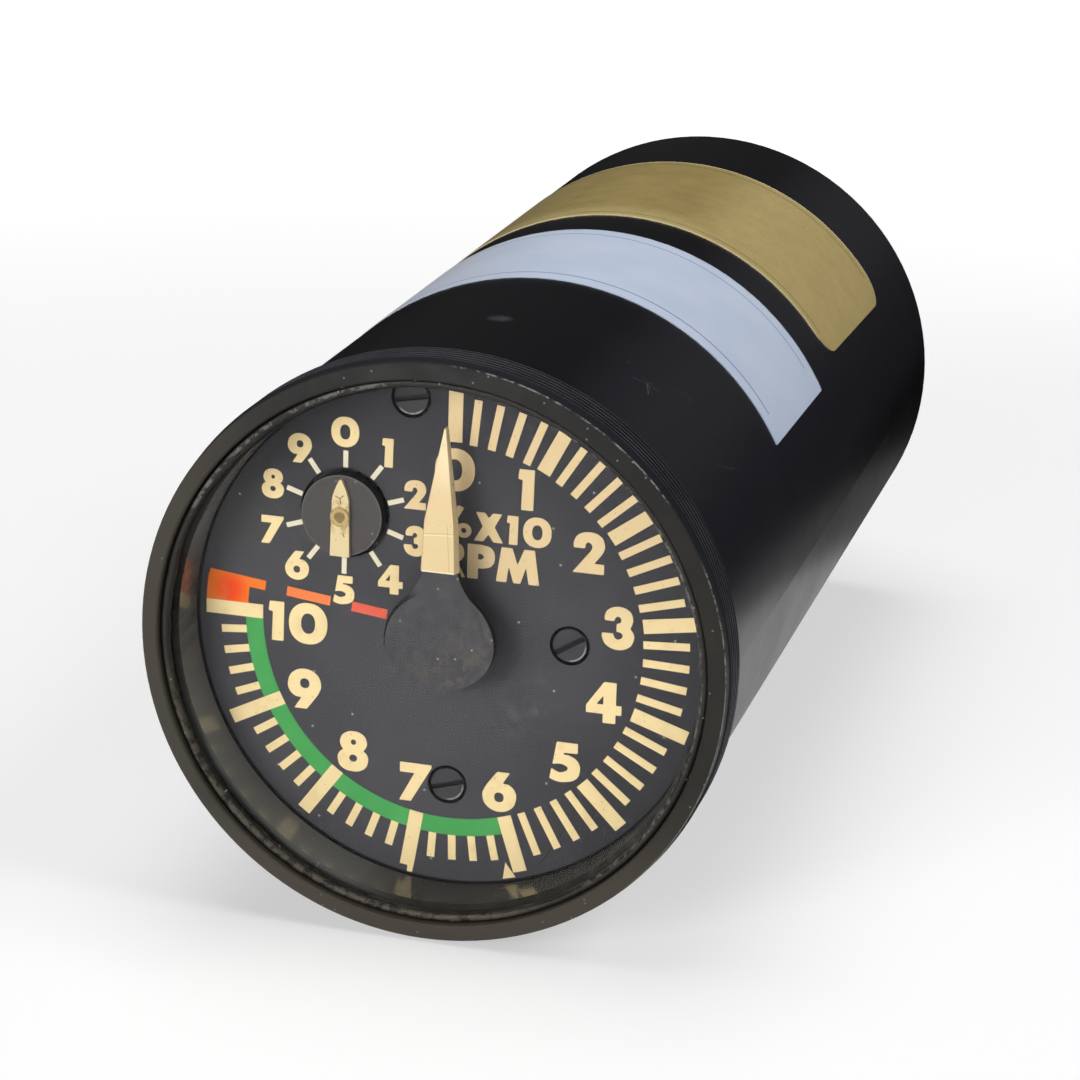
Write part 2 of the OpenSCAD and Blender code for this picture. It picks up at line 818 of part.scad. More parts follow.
module main_arbor() {
    top = hub_z - hub_t + hub_bore_t;
    color([0.75, 0.76, 0.78]) stand() {
        disc(main_pivot_r, top, top - arbor_end_z);
        disc(arbor_r, arbor_front_z, arbor_front_z - arbor_rear_z);
    }
}

module main_gear() {
    hub_out_r = 1.8;
    boss_t = 0.7;
    color([0.8, 0.65, 0.3]) stand() {
        plate(main_gear_z, gear_t) rotate(to_idler_a) spoked_wheel(main_z, 5, 8.9, hub_out_r + 0.7, arbor_r);
        plate(main_gear_z, gear_t) difference() {
            rotate(-stop_rest_a) translate([0, stop_at_r]) circle(r = 2 * stop_r, $fn = small);
            rotate(-stop_rest_a) translate([0, stop_at_r]) circle(r = stop_r, $fn = small);
        }
        ring(hub_out_r, arbor_r, main_gear_z - gear_t, boss_t);
    }
}

module gear_stop_pin() {
    reach = gear_room_z - main_gear_z - stop_gap;
    color([0.8, 0.8, 0.8]) stand() rotate([0, 0, -stop_rest_a]) translate([0, stop_at_r, 0])
        disc(stop_r, main_gear_z + reach, reach + gear_t);
}

module drag_disc() {
    color([0.82, 0.83, 0.85]) stand() {
        ring(drag_r, main_pivot_r, drag_z, drag_t);
        ring(drag_hub_r, main_pivot_r, drag_z + drag_hub_t, drag_hub_t);
    }
}

module hairspring_collet() {
    color([0.78, 0.62, 0.3]) stand() ring(collet_r, arbor_r, spring_z + (collet_h - spring_h) / 2, collet_h);
}

module hairspring() {
    color([0.45, 0.48, 0.6]) stand() plate(spring_z, spring_h) spring_strip();
}

// Idler, left of the main pivot

module idler_arbor() {
    color([0.75, 0.76, 0.78]) stand() at_idler() {
        disc(idler_pivot_r, front_plate_z - 0.3, front_plate_z - 0.3 - (rear_plate_z - rear_plate_t + 0.3));
        disc(small_arbor_r, arbor_front_z, arbor_front_z - arbor_rear_z);
    }
}

module idler_pinion() {
    color([0.7, 0.7, 0.72]) stand() at_idler() plate(idler_pinion_front_z, pinion_t)
        rotate(to_idler_a + 180 + 180 / idler_pinion_z) difference() {
            teeth(idler_pinion_z);
            circle(r = small_arbor_r, $fn = small);
        }
}

module idler_wheel() {
    hub_out_r = 1.5;
    color([0.8, 0.65, 0.3]) stand() at_idler() {
        plate(idler_wheel_front_z, wheel_t)
            rotate(to_units_a) spoked_wheel(idler_wheel_z, 4, 6.4, hub_out_r + 0.5, small_arbor_r);
        ring(hub_out_r, small_arbor_r, idler_pinion_front_z - pinion_t,
            idler_pinion_front_z - pinion_t - idler_wheel_front_z);
    }
}

// Units pointer and what turns with it

baton_tip = 3.33;
baton_tail = 3.6;
baton_tail_half_w = 0.88;
baton_neck = 1.4;
baton_neck_half_w = 0.76;
baton_tip_half_w = 0.1;
baton_curve = 1.5;
baton_steps = 6;
baton_t = 0.4;
disc_top_z = dial_z + 1.05;
disc_t = 1.25;
disc_collet_r = 1.2;
boss_r = 0.86;
boss_t = 0.15;

module units_arbor() {
    color([0.75, 0.76, 0.78]) stand() at_units() {
        disc(units_pivot_r, disc_top_z + baton_t + boss_t, disc_top_z + baton_t + boss_t - arbor_front_z);
        disc(small_arbor_r, arbor_front_z, arbor_front_z - arbor_rear_z);
        disc(rear_pivot_r, arbor_rear_z, arbor_rear_z - (rear_plate_z - rear_plate_t + 0.3));
    }
}

module units_pinion() {
    color([0.7, 0.7, 0.72]) stand() at_units() plate(units_pinion_front_z, pinion_t)
        rotate(to_units_a + 180 + 180 / units_z) difference() {
            teeth(units_z);
            circle(r = small_arbor_r, $fn = small);
        }
}

module units_disc() {
    color([0.19, 0.19, 0.21]) stand() at_units() {
        ring(disc_r, units_pivot_r, disc_top_z, disc_t);
        ring(disc_collet_r, units_pivot_r, disc_top_z - disc_t, disc_top_z - disc_t - front_plate_z - 0.2);
    }
}

// Right side of the baton: it narrows evenly to the neck, then ever faster to a blunt tip.
function baton_side() = concat([[baton_tail_half_w, -baton_tail]], [for (i = [0:baton_steps])
    let (t = i / baton_steps)
        [baton_tip_half_w + (baton_neck_half_w - baton_tip_half_w) * (1 - pow(t, baton_curve)),
         baton_neck + (baton_tip - baton_neck) * t]]);

module units_pointer() {
    side = baton_side();
    n = len(side);
    color([0.9, 0.84, 0.66]) stand() at_units() plate(disc_top_z + baton_t, baton_t) difference() {
        polygon(concat(side, [for (i = [1:n]) [-side[n - i][0], side[n - i][1]]]));
        circle(r = units_pivot_r, $fn = small);
    }
}

module units_boss() {
    color([0.7, 0.55, 0.25]) stand() at_units()
        ring(boss_r, units_pivot_r, disc_top_z + baton_t + boss_t, boss_t);
}

// Rotor and the magnets that it carries

module rotor_shaft() {
    color([0.75, 0.76, 0.78]) stand() disc(shaft_r, shaft_front_z, shaft_len);
}

module magnet_back_plate() {
    hub_t_back = 2.0;
    color([0.5, 0.5, 0.52]) stand() {
        ring(magnet_plate_r, shaft_r, back_plate_z, magnet_back_t);
        ring(magnet_eye_r, shaft_r, back_plate_z - magnet_back_t, hub_t_back);
    }
}

module magnet_front_plate() {
    color([0.5, 0.5, 0.52]) stand()
        ring(magnet_plate_r, magnet_eye_r, front_magnet_z + magnet_front_t, magnet_front_t);
}

module drag_magnets() {
    color([0.35, 0.35, 0.38]) stand() round_about(drag_magnet_n) translate([magnet_at_r, 0, 0]) {
        disc(magnet_r, front_magnet_z, magnet_len);
        disc(magnet_r, rear_magnet_z, magnet_len);
    }
}

module magnet_spacers() {
    color([0.78, 0.62, 0.3]) stand() round_about(spacer_n) translate([spacer_at_r, 0, 0])
        disc(spacer_r, front_magnet_z, front_magnet_z - back_plate_z);
}

module rotor_magnet() {
    color([0.3, 0.3, 0.33]) stand() ring(rotor_r, shaft_r, rotor_magnet_z, rotor_magnet_len);
}

module hysteresis_ring() {
    web_t = 2.0;
    rim = 2.5;
    color([0.45, 0.42, 0.4]) stand() {
        ring(rotor_r, rotor_r - rim, hysteresis_z, hysteresis_len);
        ring(rotor_r - rim, shaft_r, hysteresis_z, web_t);
    }
}

module bearing_balls() {
    color([0.85, 0.85, 0.87]) stand() for (z = bearing_fronts) round_about(ball_n)
        translate([ball_at_r, 0, z - bearing_w / 2]) sphere(r = ball_r, $fn = small);
}

module bearing_cages() {
    color([0.75, 0.6, 0.3]) stand() for (z = bearing_fronts) difference() {
        ring(ball_at_r + cage_half_w, ball_at_r - cage_half_w, z - bearing_w / 2 + cage_t + 0.2, cage_t);
        round_about(ball_n) translate([ball_at_r, 0, z - bearing_w / 2]) sphere(r = ball_r, $fn = small);
    }
}

case_tube();
bezel_ring();
lens();
lens_sealant();
mask_ring();
dial_plate();
scale_ticks();
green_arc();
red_limit_marks();
dial_screws();
front_plate();
rear_plate();
plate_pillars();
jewel_bearings();
stop_pins();
hairspring_stud();
motor_pillars();
motor_front_bell();
motor_housing();
motor_rear_bell();
stator_core();
stator_coils();
bearing_outer_rings();
lead_wires();
rear_pillars();
rear_cover();
rear_cover_screws();
connector_shell();
connector_insert();
contact_pins();
connector_screws();
pointer_blade();
pointer_hub();
main_arbor();
main_gear();
gear_stop_pin();
drag_disc();
hairspring_collet();
hairspring();
idler_arbor();
idler_pinion();
idler_wheel();
units_arbor();
units_pinion();
units_disc();
units_pointer();
units_boss();
rotor_shaft();
magnet_back_plate();
magnet_front_plate();
drag_magnets();
magnet_spacers();
rotor_magnet();
hysteresis_ring();
bearing_inner_rings();
bearing_balls();
bearing_cages();
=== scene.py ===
import json
import math
import bmesh
import bpy
import numpy as np
from mathutils import Matrix


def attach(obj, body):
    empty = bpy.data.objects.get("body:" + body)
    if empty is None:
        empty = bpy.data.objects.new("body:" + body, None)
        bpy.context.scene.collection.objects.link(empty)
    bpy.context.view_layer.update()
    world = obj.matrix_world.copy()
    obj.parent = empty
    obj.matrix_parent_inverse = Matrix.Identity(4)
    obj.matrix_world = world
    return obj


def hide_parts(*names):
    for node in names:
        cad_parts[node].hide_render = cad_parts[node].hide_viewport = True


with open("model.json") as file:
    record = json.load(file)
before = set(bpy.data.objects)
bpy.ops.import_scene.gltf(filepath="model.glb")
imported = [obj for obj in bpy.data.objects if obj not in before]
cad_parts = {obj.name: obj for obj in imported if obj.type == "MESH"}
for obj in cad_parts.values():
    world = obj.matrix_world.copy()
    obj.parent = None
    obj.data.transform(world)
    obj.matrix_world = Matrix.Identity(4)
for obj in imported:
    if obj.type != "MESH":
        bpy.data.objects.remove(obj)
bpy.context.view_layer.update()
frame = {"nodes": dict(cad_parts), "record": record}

# Lengths are in millimetres until place() turns them into metres. X is right, Z is up and the dial
# faces -Y, so a point (x, y) of the dial lies at (x, depth, y).
MM = 0.001
INCH = 25.4
TURN = 2 * math.pi
DIAL_FACE = 2.4
PRINT_FRONT = 2.345
GLASS_FRONT = -3.7
FRONT_PLATE = 3.6
CASE_R = INCH  # a case 2 inches across
CASE_BACK = 106.2
BEZEL_R = 26.2
UNITS_AT = (-9.8, 10.0)
UNITS_DISC_R = 3.6


# Making a piece

def turned_grid(cells, close_u, close_v):
    """Corner numbers of the quads on a grid of points, as an array: each quad joins a point to its
    neighbours along u and v, and the last row or column joins the first where it is closed."""
    n, m = cells
    i = np.arange(n if close_u else n - 1)[:, None]
    j = np.arange(m if close_v else m - 1)[None, :]
    a, b = (i + 1) % n, (j + 1) % m
    return np.stack([i * m + j, a * m + j, a * m + b, i * m + b], -1).reshape(-1, 4)


def in_scene(name, data):
    """A new object in the scene."""
    thing = bpy.data.objects.new(name, data)
    bpy.context.scene.collection.objects.link(thing)
    return thing


def place(name, shells, body, finish, slot, stands_for=(), sharp=35):
    """One piece from shells. A shell is (grid of points in mm, u closed, v closed), and closes on
    itself: an open end is a row whose points meet in pairs."""
    points, faces, start = [], [], 0
    for grid, close_u, close_v in shells:
        points.append(grid.reshape(-1, 3))
        faces.append(turned_grid(grid.shape[:2], close_u, close_v) + start)
        start += len(points[-1])
    mesh = bpy.data.meshes.new(name)
    mesh.from_pydata(np.concatenate(points) * MM, [], np.concatenate(faces))
    finish_piece(in_scene(name, mesh), body, finish, stands_for, sharp)


def finish_piece(piece, body, finish, stands_for, sharp):
    """Merges doubles, turns faces outwards, shades smooth up to the sharp angle, and tells the
    frame what the piece rides on and stands for."""
    shape = bmesh.new()
    shape.from_mesh(piece.data)
    bmesh.ops.remove_doubles(shape, verts=shape.verts, dist=1e-7)
    bmesh.ops.recalc_face_normals(shape, faces=shape.faces)
    shape.to_mesh(piece.data)
    shape.free()
    piece.data.shade_smooth()
    piece.data.set_sharp_from_angle(angle=math.radians(sharp))
    piece.data.materials.clear()
    piece.data.materials.append(finish)
    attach(piece, body)
    if stands_for:
        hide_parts(*stands_for)


def slab(outer, inner):
    """Closed shell between two grids of the same size: one goes out over the first and back under
    the second, and the two ends are closed by narrow strips."""
    loop = np.concatenate([outer, inner[:, ::-1]], 1)
    middle_first = (outer[:1] + inner[:1]) / 2
    middle_last = (outer[-1:] + inner[-1:]) / 2
    cap = lambda mid: np.concatenate([mid, mid[:, ::-1]], 1)
    return np.concatenate([cap(middle_first), loop, cap(middle_last)], 0), False, True


def round_axis(r, y, a):
    """Points at radius r and depth y, turned by a from the top round the case axis."""
    return np.stack(np.broadcast_arrays(r * np.sin(a), y, r * np.cos(a)), -1)


# Printing on the dial

def unit(v):
    """The same directions with length 1."""
    return v / np.maximum(np.linalg.norm(v, axis=-1, keepdims=True), 1e-12)


# End slopes of an outline's spans, as a share of their length: a little over 1 makes them fuller
FULLNESS = 1.12


def drawn(points, corner_r=0.08, steps=7):
    """Closed outline through (x, y) corners and (x, y, 1) soft points. Spans are cubic, with end
    slopes along the chord between a soft point's neighbours, and each corner is cut back by
    corner_r along both of its sides and rounded by a span of its own."""
    p = np.array([q[:2] for q in points], float)
    soft = np.array([[len(q) == 3] for q in points])
    ahead = unit(np.roll(p, -1, 0) - p)
    behind = np.roll(ahead, 1, 0)
    chord = unit(np.roll(p, -1, 0) - np.roll(p, 1, 0))
    stations = np.stack([np.where(soft, p, p - corner_r * behind),
                         np.where(soft, p, p + corner_r * ahead)], 1)
    slopes = np.stack([np.where(soft, chord, behind), np.where(soft, chord, ahead)], 1)
    s, d = stations.reshape(-1, 2), slopes.reshape(-1, 2)
    e, f = np.roll(s, -1, 0), np.roll(d, -1, 0)
    length = np.linalg.norm(e - s, axis=1)
    keep = length > 1e-6
    s, d, e, f, pull = s[keep], d[keep], e[keep], f[keep], FULLNESS * length[keep][:, None]
    t = np.arange(steps)[:, None, None] / steps
    curve = ((2 * t**3 - 3 * t**2 + 1) * s + (t**3 - 2 * t**2 + t) * pull * d
             + (3 * t**2 - 2 * t**3) * e + (t**3 - t**2) * pull * f)
    return curve.transpose(1, 0, 2).reshape(-1, 2)


def oval(x, y, half_w, half_h, power=2.0, steps=56):
    """Superellipse: both coordinates are a cosine or sine raised to 2 over the power."""
    a = np.linspace(0, TURN, steps, endpoint=False)
    c, s = np.cos(a), np.sin(a)
    return np.stack([x + half_w * np.sign(c) * abs(c) ** (2 / power),
                     y + half_h * np.sign(s) * abs(s) ** (2 / power)], 1)


SIX_AT = (4.855, -14.16)
SIX = [drawn([(4.61, -12.29), (5.77, -12.29), (5.13, -13.33), (5.72, -13.42, 1),
              (6.24, -13.9, 1), (6.40, -14.62, 1), (6.0, -15.58, 1), (4.87, -16.03, 1),
              (3.72, -15.58, 1), (3.31, -14.62, 1), (3.52, -13.86, 1), (4.03, -13.08, 1)]),
       oval(4.83, -14.67, 0.44, 0.46, 2.2)]

# Middle of each figure's outline as printed on the main scale, and the outline. The 9 is the 6
# turned half round.
FIGURES = {
    "0": ((0.045, 14.93), [oval(0.045, 14.93, 1.785, 1.915, 2.2),
        oval(0.045, 14.93, 0.655, 0.95, 2.2)]),
    "1": ((6.42, 13.815), [drawn([(5.80, 15.63), (7.15, 15.63), (7.10, 12.0), (6.02, 12.0),
        (6.10, 14.66), (5.70, 14.76)])]),
    "2": ((12.15, 8.82), [drawn([(10.75, 6.97), (13.53, 6.97), (13.53, 7.87), (12.64, 7.89),
        (13.08, 8.45, 1), (13.45, 9.06, 1), (13.53, 9.62, 1), (13.17, 10.36, 1),
        (12.18, 10.67, 1), (11.17, 10.36, 1), (10.79, 9.68, 1), (10.80, 9.19), (11.79, 9.19),
        (11.86, 9.58, 1), (12.13, 9.75, 1), (12.43, 9.43, 1), (12.32, 9.03, 1),
        (12.0, 8.6, 1)])]),
    "3": ((14.99, 2.315), [drawn([(13.80, 2.96), (13.75, 3.28, 1), (14.05, 3.93, 1),
        (14.98, 4.27, 1), (15.93, 3.97, 1), (16.27, 3.28, 1), (16.20, 2.75, 1), (16.05, 2.38),
        (16.33, 2.0, 1), (16.42, 1.5, 1), (16.02, 0.7, 1), (15.0, 0.36, 1), (13.98, 0.72, 1),
        (13.58, 1.4, 1), (13.56, 1.80), (14.55, 1.82), (14.68, 1.47, 1), (15.02, 1.30, 1),
        (15.40, 1.63, 1), (15.25, 1.93, 1), (14.84, 2.02), (14.84, 2.70), (15.1, 2.80, 1),
        (15.24, 3.10, 1), (15.0, 3.38, 1), (14.72, 3.24, 1), (14.60, 2.94)])]),
    "4": ((13.99, -4.58), [drawn([(13.95, -2.70), (15.06, -2.70), (15.06, -4.77),
        (15.57, -4.77), (15.57, -5.64), (15.06, -5.64), (15.06, -6.46), (13.93, -6.46),
        (13.93, -5.64), (12.41, -5.64), (12.41, -4.95)]), drawn([(13.93, -3.98), (13.93, -4.79),
        (13.32, -4.79)], 0.04)]),
    "5": ((10.705, -10.59), [drawn([(9.91, -8.74), (11.82, -8.74), (11.82, -9.66),
        (10.56, -9.70), (10.54, -9.86), (11.15, -9.93, 1), (11.84, -10.37, 1),
        (12.08, -11.12, 1), (11.75, -12.03, 1), (10.65, -12.44, 1), (9.90, -12.40, 1),
        (9.34, -12.20), (9.50, -11.25), (9.92, -11.47, 1), (10.38, -11.55, 1),
        (10.97, -11.15, 1), (10.55, -10.80, 1), (10.05, -10.77, 1), (9.58, -10.86)])]),
    "6": (SIX_AT, SIX),
    "7": ((-2.875, -14.29), [drawn([(-4.33, -12.49), (-1.41, -12.49), (-1.45, -12.82),
        (-3.26, -16.09), (-4.35, -16.09), (-2.98, -13.41), (-4.33, -13.41)])]),
    "8": ((-8.715, -12.1), [drawn([(-8.69, -10.2, 1), (-7.77, -10.5, 1), (-7.43, -11.2, 1),
        (-7.56, -11.72, 1), (-7.77, -11.98), (-7.44, -12.28, 1), (-7.29, -12.85, 1),
        (-7.65, -13.67, 1), (-8.71, -14.0, 1), (-9.78, -13.67, 1), (-10.14, -12.85, 1),
        (-9.97, -12.28, 1), (-9.64, -11.98), (-9.82, -11.72, 1), (-9.94, -11.2, 1),
        (-9.6, -10.5, 1)]), oval(-8.69, -11.23, 0.25, 0.26), oval(-8.69, -12.75, 0.37, 0.34)]),
    "9": (SIX_AT, [2 * np.array(SIX_AT) - loop for loop in SIX]),
}
# The scale's figures stand where their outlines were drawn, apart from the 9 and the 10
MAIN_AT = [(key, *FIGURES[key][0]) for key in "012345678"]
MAIN_AT += [("9", -13.325, -6.755), ("1", -16.01, -0.70), ("0", -13.05, -0.63)]
UNITS_FIGURES_AT = [("0", -9.88, 17.27), ("1", -6.02, 15.79), ("2", -3.47, 12.3),
                    ("3", -3.38, 8.11), ("4", -5.55, 4.36), ("5", -9.80, 2.89),
                    ("6", -14.14, 4.67), ("7", -16.44, 7.69), ("8", -16.44, 11.92),
                    ("9", -14.0, 15.41)]
# Size of the units figures and of the legend's 10, against the main figures
SMALL = 0.71
LEGEND_AT = [("1", 5.31, 10.075), ("0", 7.535, 10.1)]
# The multiplication sign, the percent sign and the three letters of the unit
LEGEND = [
    drawn([(2.03, 11.38), (2.85, 11.38), (3.19, 10.92), (3.55, 11.38), (4.36, 11.38), (3.72, 10.15),
           (4.50, 8.79), (3.66, 8.79), (3.19, 9.45), (2.73, 8.79), (1.90, 8.79), (2.66, 10.15)]),
    oval(0.97, 9.575, 0.69, 0.66), oval(0.97, 9.575, 0.24, 0.24),
    oval(-0.86, 10.76, 0.66, 0.66), oval(-0.86, 10.76, 0.24, 0.24),
    drawn([(0.97, 11.60), (0.42, 11.80), (-1.28, 8.75), (-0.72, 8.60)], 0.05),
    drawn([(1.36, 8.45), (2.72, 8.45), (3.52, 8.2, 1), (3.83, 7.38, 1), (3.52, 6.58, 1),
           (2.85, 6.32), (2.34, 6.31), (2.33, 5.33), (1.38, 5.33)]),
    drawn([(2.32, 7.64), (2.62, 7.64), (2.85, 7.37, 1), (2.62, 7.1), (2.32, 7.1)], 0.05),
    drawn([(4.40, 8.45), (5.37, 8.45), (5.87, 7.0), (6.44, 8.45), (7.37, 8.45), (7.84, 5.33),
           (6.91, 5.33), (6.63, 6.83), (6.16, 5.33), (5.54, 5.33), (5.09, 6.75), (4.90, 5.33),
           (3.97, 5.33)]),
    drawn([(-1.24, 8.45), (0.05, 8.45), (0.78, 8.24, 1), (1.06, 7.56, 1), (0.9, 6.98, 1),
           (0.48, 6.66), (1.20, 5.33), (0.18, 5.33), (-0.22, 6.42), (-0.27, 5.33),
           (-1.24, 5.33)], 0.06),
    drawn([(-0.28, 7.66), (-0.05, 7.66), (0.16, 7.39, 1), (-0.05, 7.12), (-0.28, 7.12)], 0.04),
]


def around(rows):
    """Corners (x, y) from rows of radius, degrees clockwise from the top, and distance sideways."""
    r, a, side = np.array(rows, float).T
    a = np.radians(a)
    return np.stack([r * np.sin(a) + side * np.cos(a), r * np.cos(a) - side * np.sin(a)], 1)


# Paint that has run past the mark at 7, and a chip of it beside the mark at 6
STRAY = [around([(22.4, 189, -0.62), (23.1, 189, -0.60), (23.12, 189, -0.12), (22.4, 189, -0.08)]),
         around([(23.0, 163.4, 0), (23.0, 166.4, 0), (21.5, 164.9, 0)])]


def figures(rows, scale):
    """Outlines of figures moved so that each one's middle lies at its place."""
    return [(loop - FIGURES[key][0]) * scale + (x, y)
            for key, x, y in rows for loop in FIGURES[key][1]]


def printed(name, outlines, body, finish):
    """Outlines on the dial, filled by the even-odd rule, as a thin plate from back to front."""
    front, back = PRINT_FRONT, DIAL_FACE + 0.01
    flat = bpy.data.curves.new(name, "CURVE")
    flat.dimensions, flat.fill_mode, flat.extrude = "2D", "BOTH", 0.5
    for outline in outlines:
        line = flat.splines.new("POLY")
        line.points.add(len(outline) - 1)
        line.points.foreach_set("co", np.pad(outline, ((0, 0), (0, 2))).ravel())
        line.use_cyclic_u = True
    holder = in_scene(name + "_outline", flat)
    seen = bpy.context.evaluated_depsgraph_get()
    mesh = bpy.data.meshes.new_from_object(holder.evaluated_get(seen))
    bpy.data.objects.remove(holder)
    co = np.zeros(len(mesh.vertices) * 3)
    mesh.vertices.foreach_get("co", co)
    x, y, z = co.reshape(-1, 3).T
    depth = np.where(z > 0, front, back)
    mesh.vertices.foreach_set("co", (np.stack([x, depth, y], 1) * MM).ravel())
    mesh.name = name
    finish_piece(in_scene(name, mesh), body, finish, (), 30)


# Materials

def rgb(r, g, b):
    """Linear colour of an sRGB one given in 0 to 255."""
    c = np.array([r, g, b]) / 255
    return tuple(np.where(c <= 0.04045, c / 12.92, ((c + 0.055) / 1.055) ** 2.4)) + (1.0,)


class Finish:
    """A material with one Principled shader. Each helper adds a node and gives its result. The
    pattern's place is the piece's Object coordinate, turned into millimetres."""

    def __init__(self, name, colour, rough, metal=0.0, shine=0.5):
        self.mat = bpy.data.materials.new(name)
        self.mat.use_nodes = True
        self.tree = self.mat.node_tree
        self.shader = self.tree.nodes["Principled BSDF"]
        self.base = colour
        for key, value in {"Base Color": colour, "Roughness": rough, "Metallic": metal,
                           "Specular IOR Level": shine}.items():
            self.shader.inputs[key].default_value = value
        place_of = self.node("ShaderNodeTexCoord").outputs["Object"]
        self.at = self.vector("SCALE", place_of, scale=1000.0)
        split = self.node("ShaderNodeSeparateXYZ", Vector=self.at)
        self.x, self.y, self.z = split.outputs

    def node(self, kind, **inputs):
        n = self.tree.nodes.new(kind)
        for key, value in inputs.items():
            self.put(n.inputs[key.replace("_", " ")], value)
        return n

    def put(self, socket, value):
        """Links another node's output to the socket, or sets its value."""
        if isinstance(value, bpy.types.NodeSocket):
            self.tree.links.new(value, socket)
        else:
            socket.default_value = value

    def vector(self, op, a, b=(0, 0, 0), scale=1.0):
        n = self.node("ShaderNodeVectorMath")
        n.operation = op
        self.put(n.inputs[0], a)
        if op == "SCALE":
            self.put(n.inputs["Scale"], scale)
        else:
            self.put(n.inputs[1], b)
        return n.outputs["Value" if op in ("LENGTH", "DISTANCE", "DOT_PRODUCT") else "Vector"]

    def math(self, op, a, b=0.0):
        n = self.node("ShaderNodeMath")
        n.operation = op
        self.put(n.inputs[0], a)
        self.put(n.inputs[1], b)
        return n.outputs[0]

    def times(self, a, b):
        """Where both hold, for two patterns of 0 to 1."""
        return self.math("MULTIPLY", a, b)

    def either(self, a, b):
        """Where one of them holds: the larger of two."""
        return self.math("MAXIMUM", a, b)

    def step(self, value, start, end, low=0.0, high=1.0):
        """Runs smoothly from low to high as value goes from start to end."""
        n = self.node("ShaderNodeMapRange", Value=value, From_Min=start, From_Max=end,
                      To_Min=low, To_Max=high)
        n.interpolation_type = "SMOOTHSTEP"
        return n.outputs[0]

    def band(self, value, middle, half, soft):
        """1 within half of middle, fading to 0 over soft."""
        off = self.math("ABSOLUTE", self.math("SUBTRACT", value, middle))
        return self.step(off, half, half + soft, 1.0, 0.0)

    def grain(self, scale, detail=3.0, rough=0.55, stretch=(1, 1, 1), seed=0.0):
        at = self.vector("MULTIPLY", self.at, stretch)
        if seed:
            at = self.vector("ADD", at, (seed, -seed, seed / 2))
        n = self.node("ShaderNodeTexNoise", Vector=at, Scale=scale, Detail=detail, Roughness=rough)
        return n.outputs["Fac"]

    def specks(self, scale, size, seed=0.0, share=0.2, flat=None):
        """Small dots, size mm across, in a share of the cells of a Voronoi pattern. It is taken in
        space, or in the plane where the surface is laid flat."""
        at = self.vector("ADD", flat or self.at, (seed, seed, seed))
        n = self.node("ShaderNodeTexVoronoi", Vector=at, Scale=scale)
        n.voronoi_dimensions = "2D" if flat else "3D"
        picked = self.node("ShaderNodeSeparateXYZ", Vector=n.outputs["Color"]).outputs[0]
        picked = self.step(picked, 0.98 - share, 1.0 - share)
        reach = size * scale / 2
        return self.times(picked, self.step(n.outputs["Distance"], reach / 2, reach, 1.0, 0.0))

    def tinted(self, amount, colour):
        """Mixes the colour over what is there by amount."""
        n = self.node("ShaderNodeMix")
        n.data_type = "RGBA"
        self.put(n.inputs["Factor"], amount)
        first, second = [socket for socket in n.inputs if socket.type == "RGBA"]
        self.put(first, self.base)
        self.put(second, colour)
        self.base = next(socket for socket in n.outputs if socket.type == "RGBA")

    def colour(self):
        """Gives the shader the tinted colour. It comes after the last tint."""
        self.put(self.shader.inputs["Base Color"], self.base)

    def rough(self, value):
        self.put(self.shader.inputs["Roughness"], value)

    def relief(self, height, depth):
        """Bump of that many millimetres."""
        n = self.node("ShaderNodeBump", Height=height, Strength=1.0, Distance=depth * MM)
        self.put(self.shader.inputs["Normal"], n.outputs["Normal"])

    def joined(self, kind, other, **inputs):
        """Ends in the Principled shader and another one, through a node that mixes or adds them."""
        both = self.node(kind, **inputs)
        first, second = [socket for socket in both.inputs if socket.type == "SHADER"]
        self.put(first, self.shader.outputs[0])
        self.put(second, other.outputs[0])
        self.put(self.tree.nodes["Material Output"].inputs["Surface"], both.outputs[0])

    def faced(self):
        """Place on a surface that faces the front: X, then Z."""
        return self.node("ShaderNodeCombineXYZ", X=self.x, Y=self.z).outputs[0]

    def unrolled(self):
        """Place on the case as if its skin were laid flat: along the girth from the top, then Y."""
        along = self.times(self.math("ARCTAN2", self.x, self.z), CASE_R)
        return self.node("ShaderNodeCombineXYZ", X=along, Y=self.y).outputs[0]

    def stroke(self, at, start, end, half):
        """1 on the straight line between two points, fading out at half its width."""
        whole = np.array(end) - np.array(start)
        off = self.vector("SUBTRACT", at, tuple(start))
        share = self.vector("DOT_PRODUCT", off, tuple(whole))
        share = self.math("DIVIDE", share, float(whole @ whole))
        share = self.math("MINIMUM", self.either(share, 0.0), 1.0)
        beside = self.vector("DISTANCE", off, self.vector("SCALE", tuple(whole), scale=share))
        return self.step(beside, half * 0.6, half * 1.4, 1.0, 0.0)

    def distance(self, place):
        """Distance from a point, in millimetres."""
        return self.vector("DISTANCE", self.at, place)

    def radius(self):
        """Distance from the case axis."""
        return self.vector("LENGTH", self.vector("MULTIPLY", self.at, (1, 0, 1)))

    def angle(self):
        """Degrees clockwise from the top, seen from the dial's side."""
        return self.times(self.math("ARCTAN2", self.x, self.z), 360 / TURN)


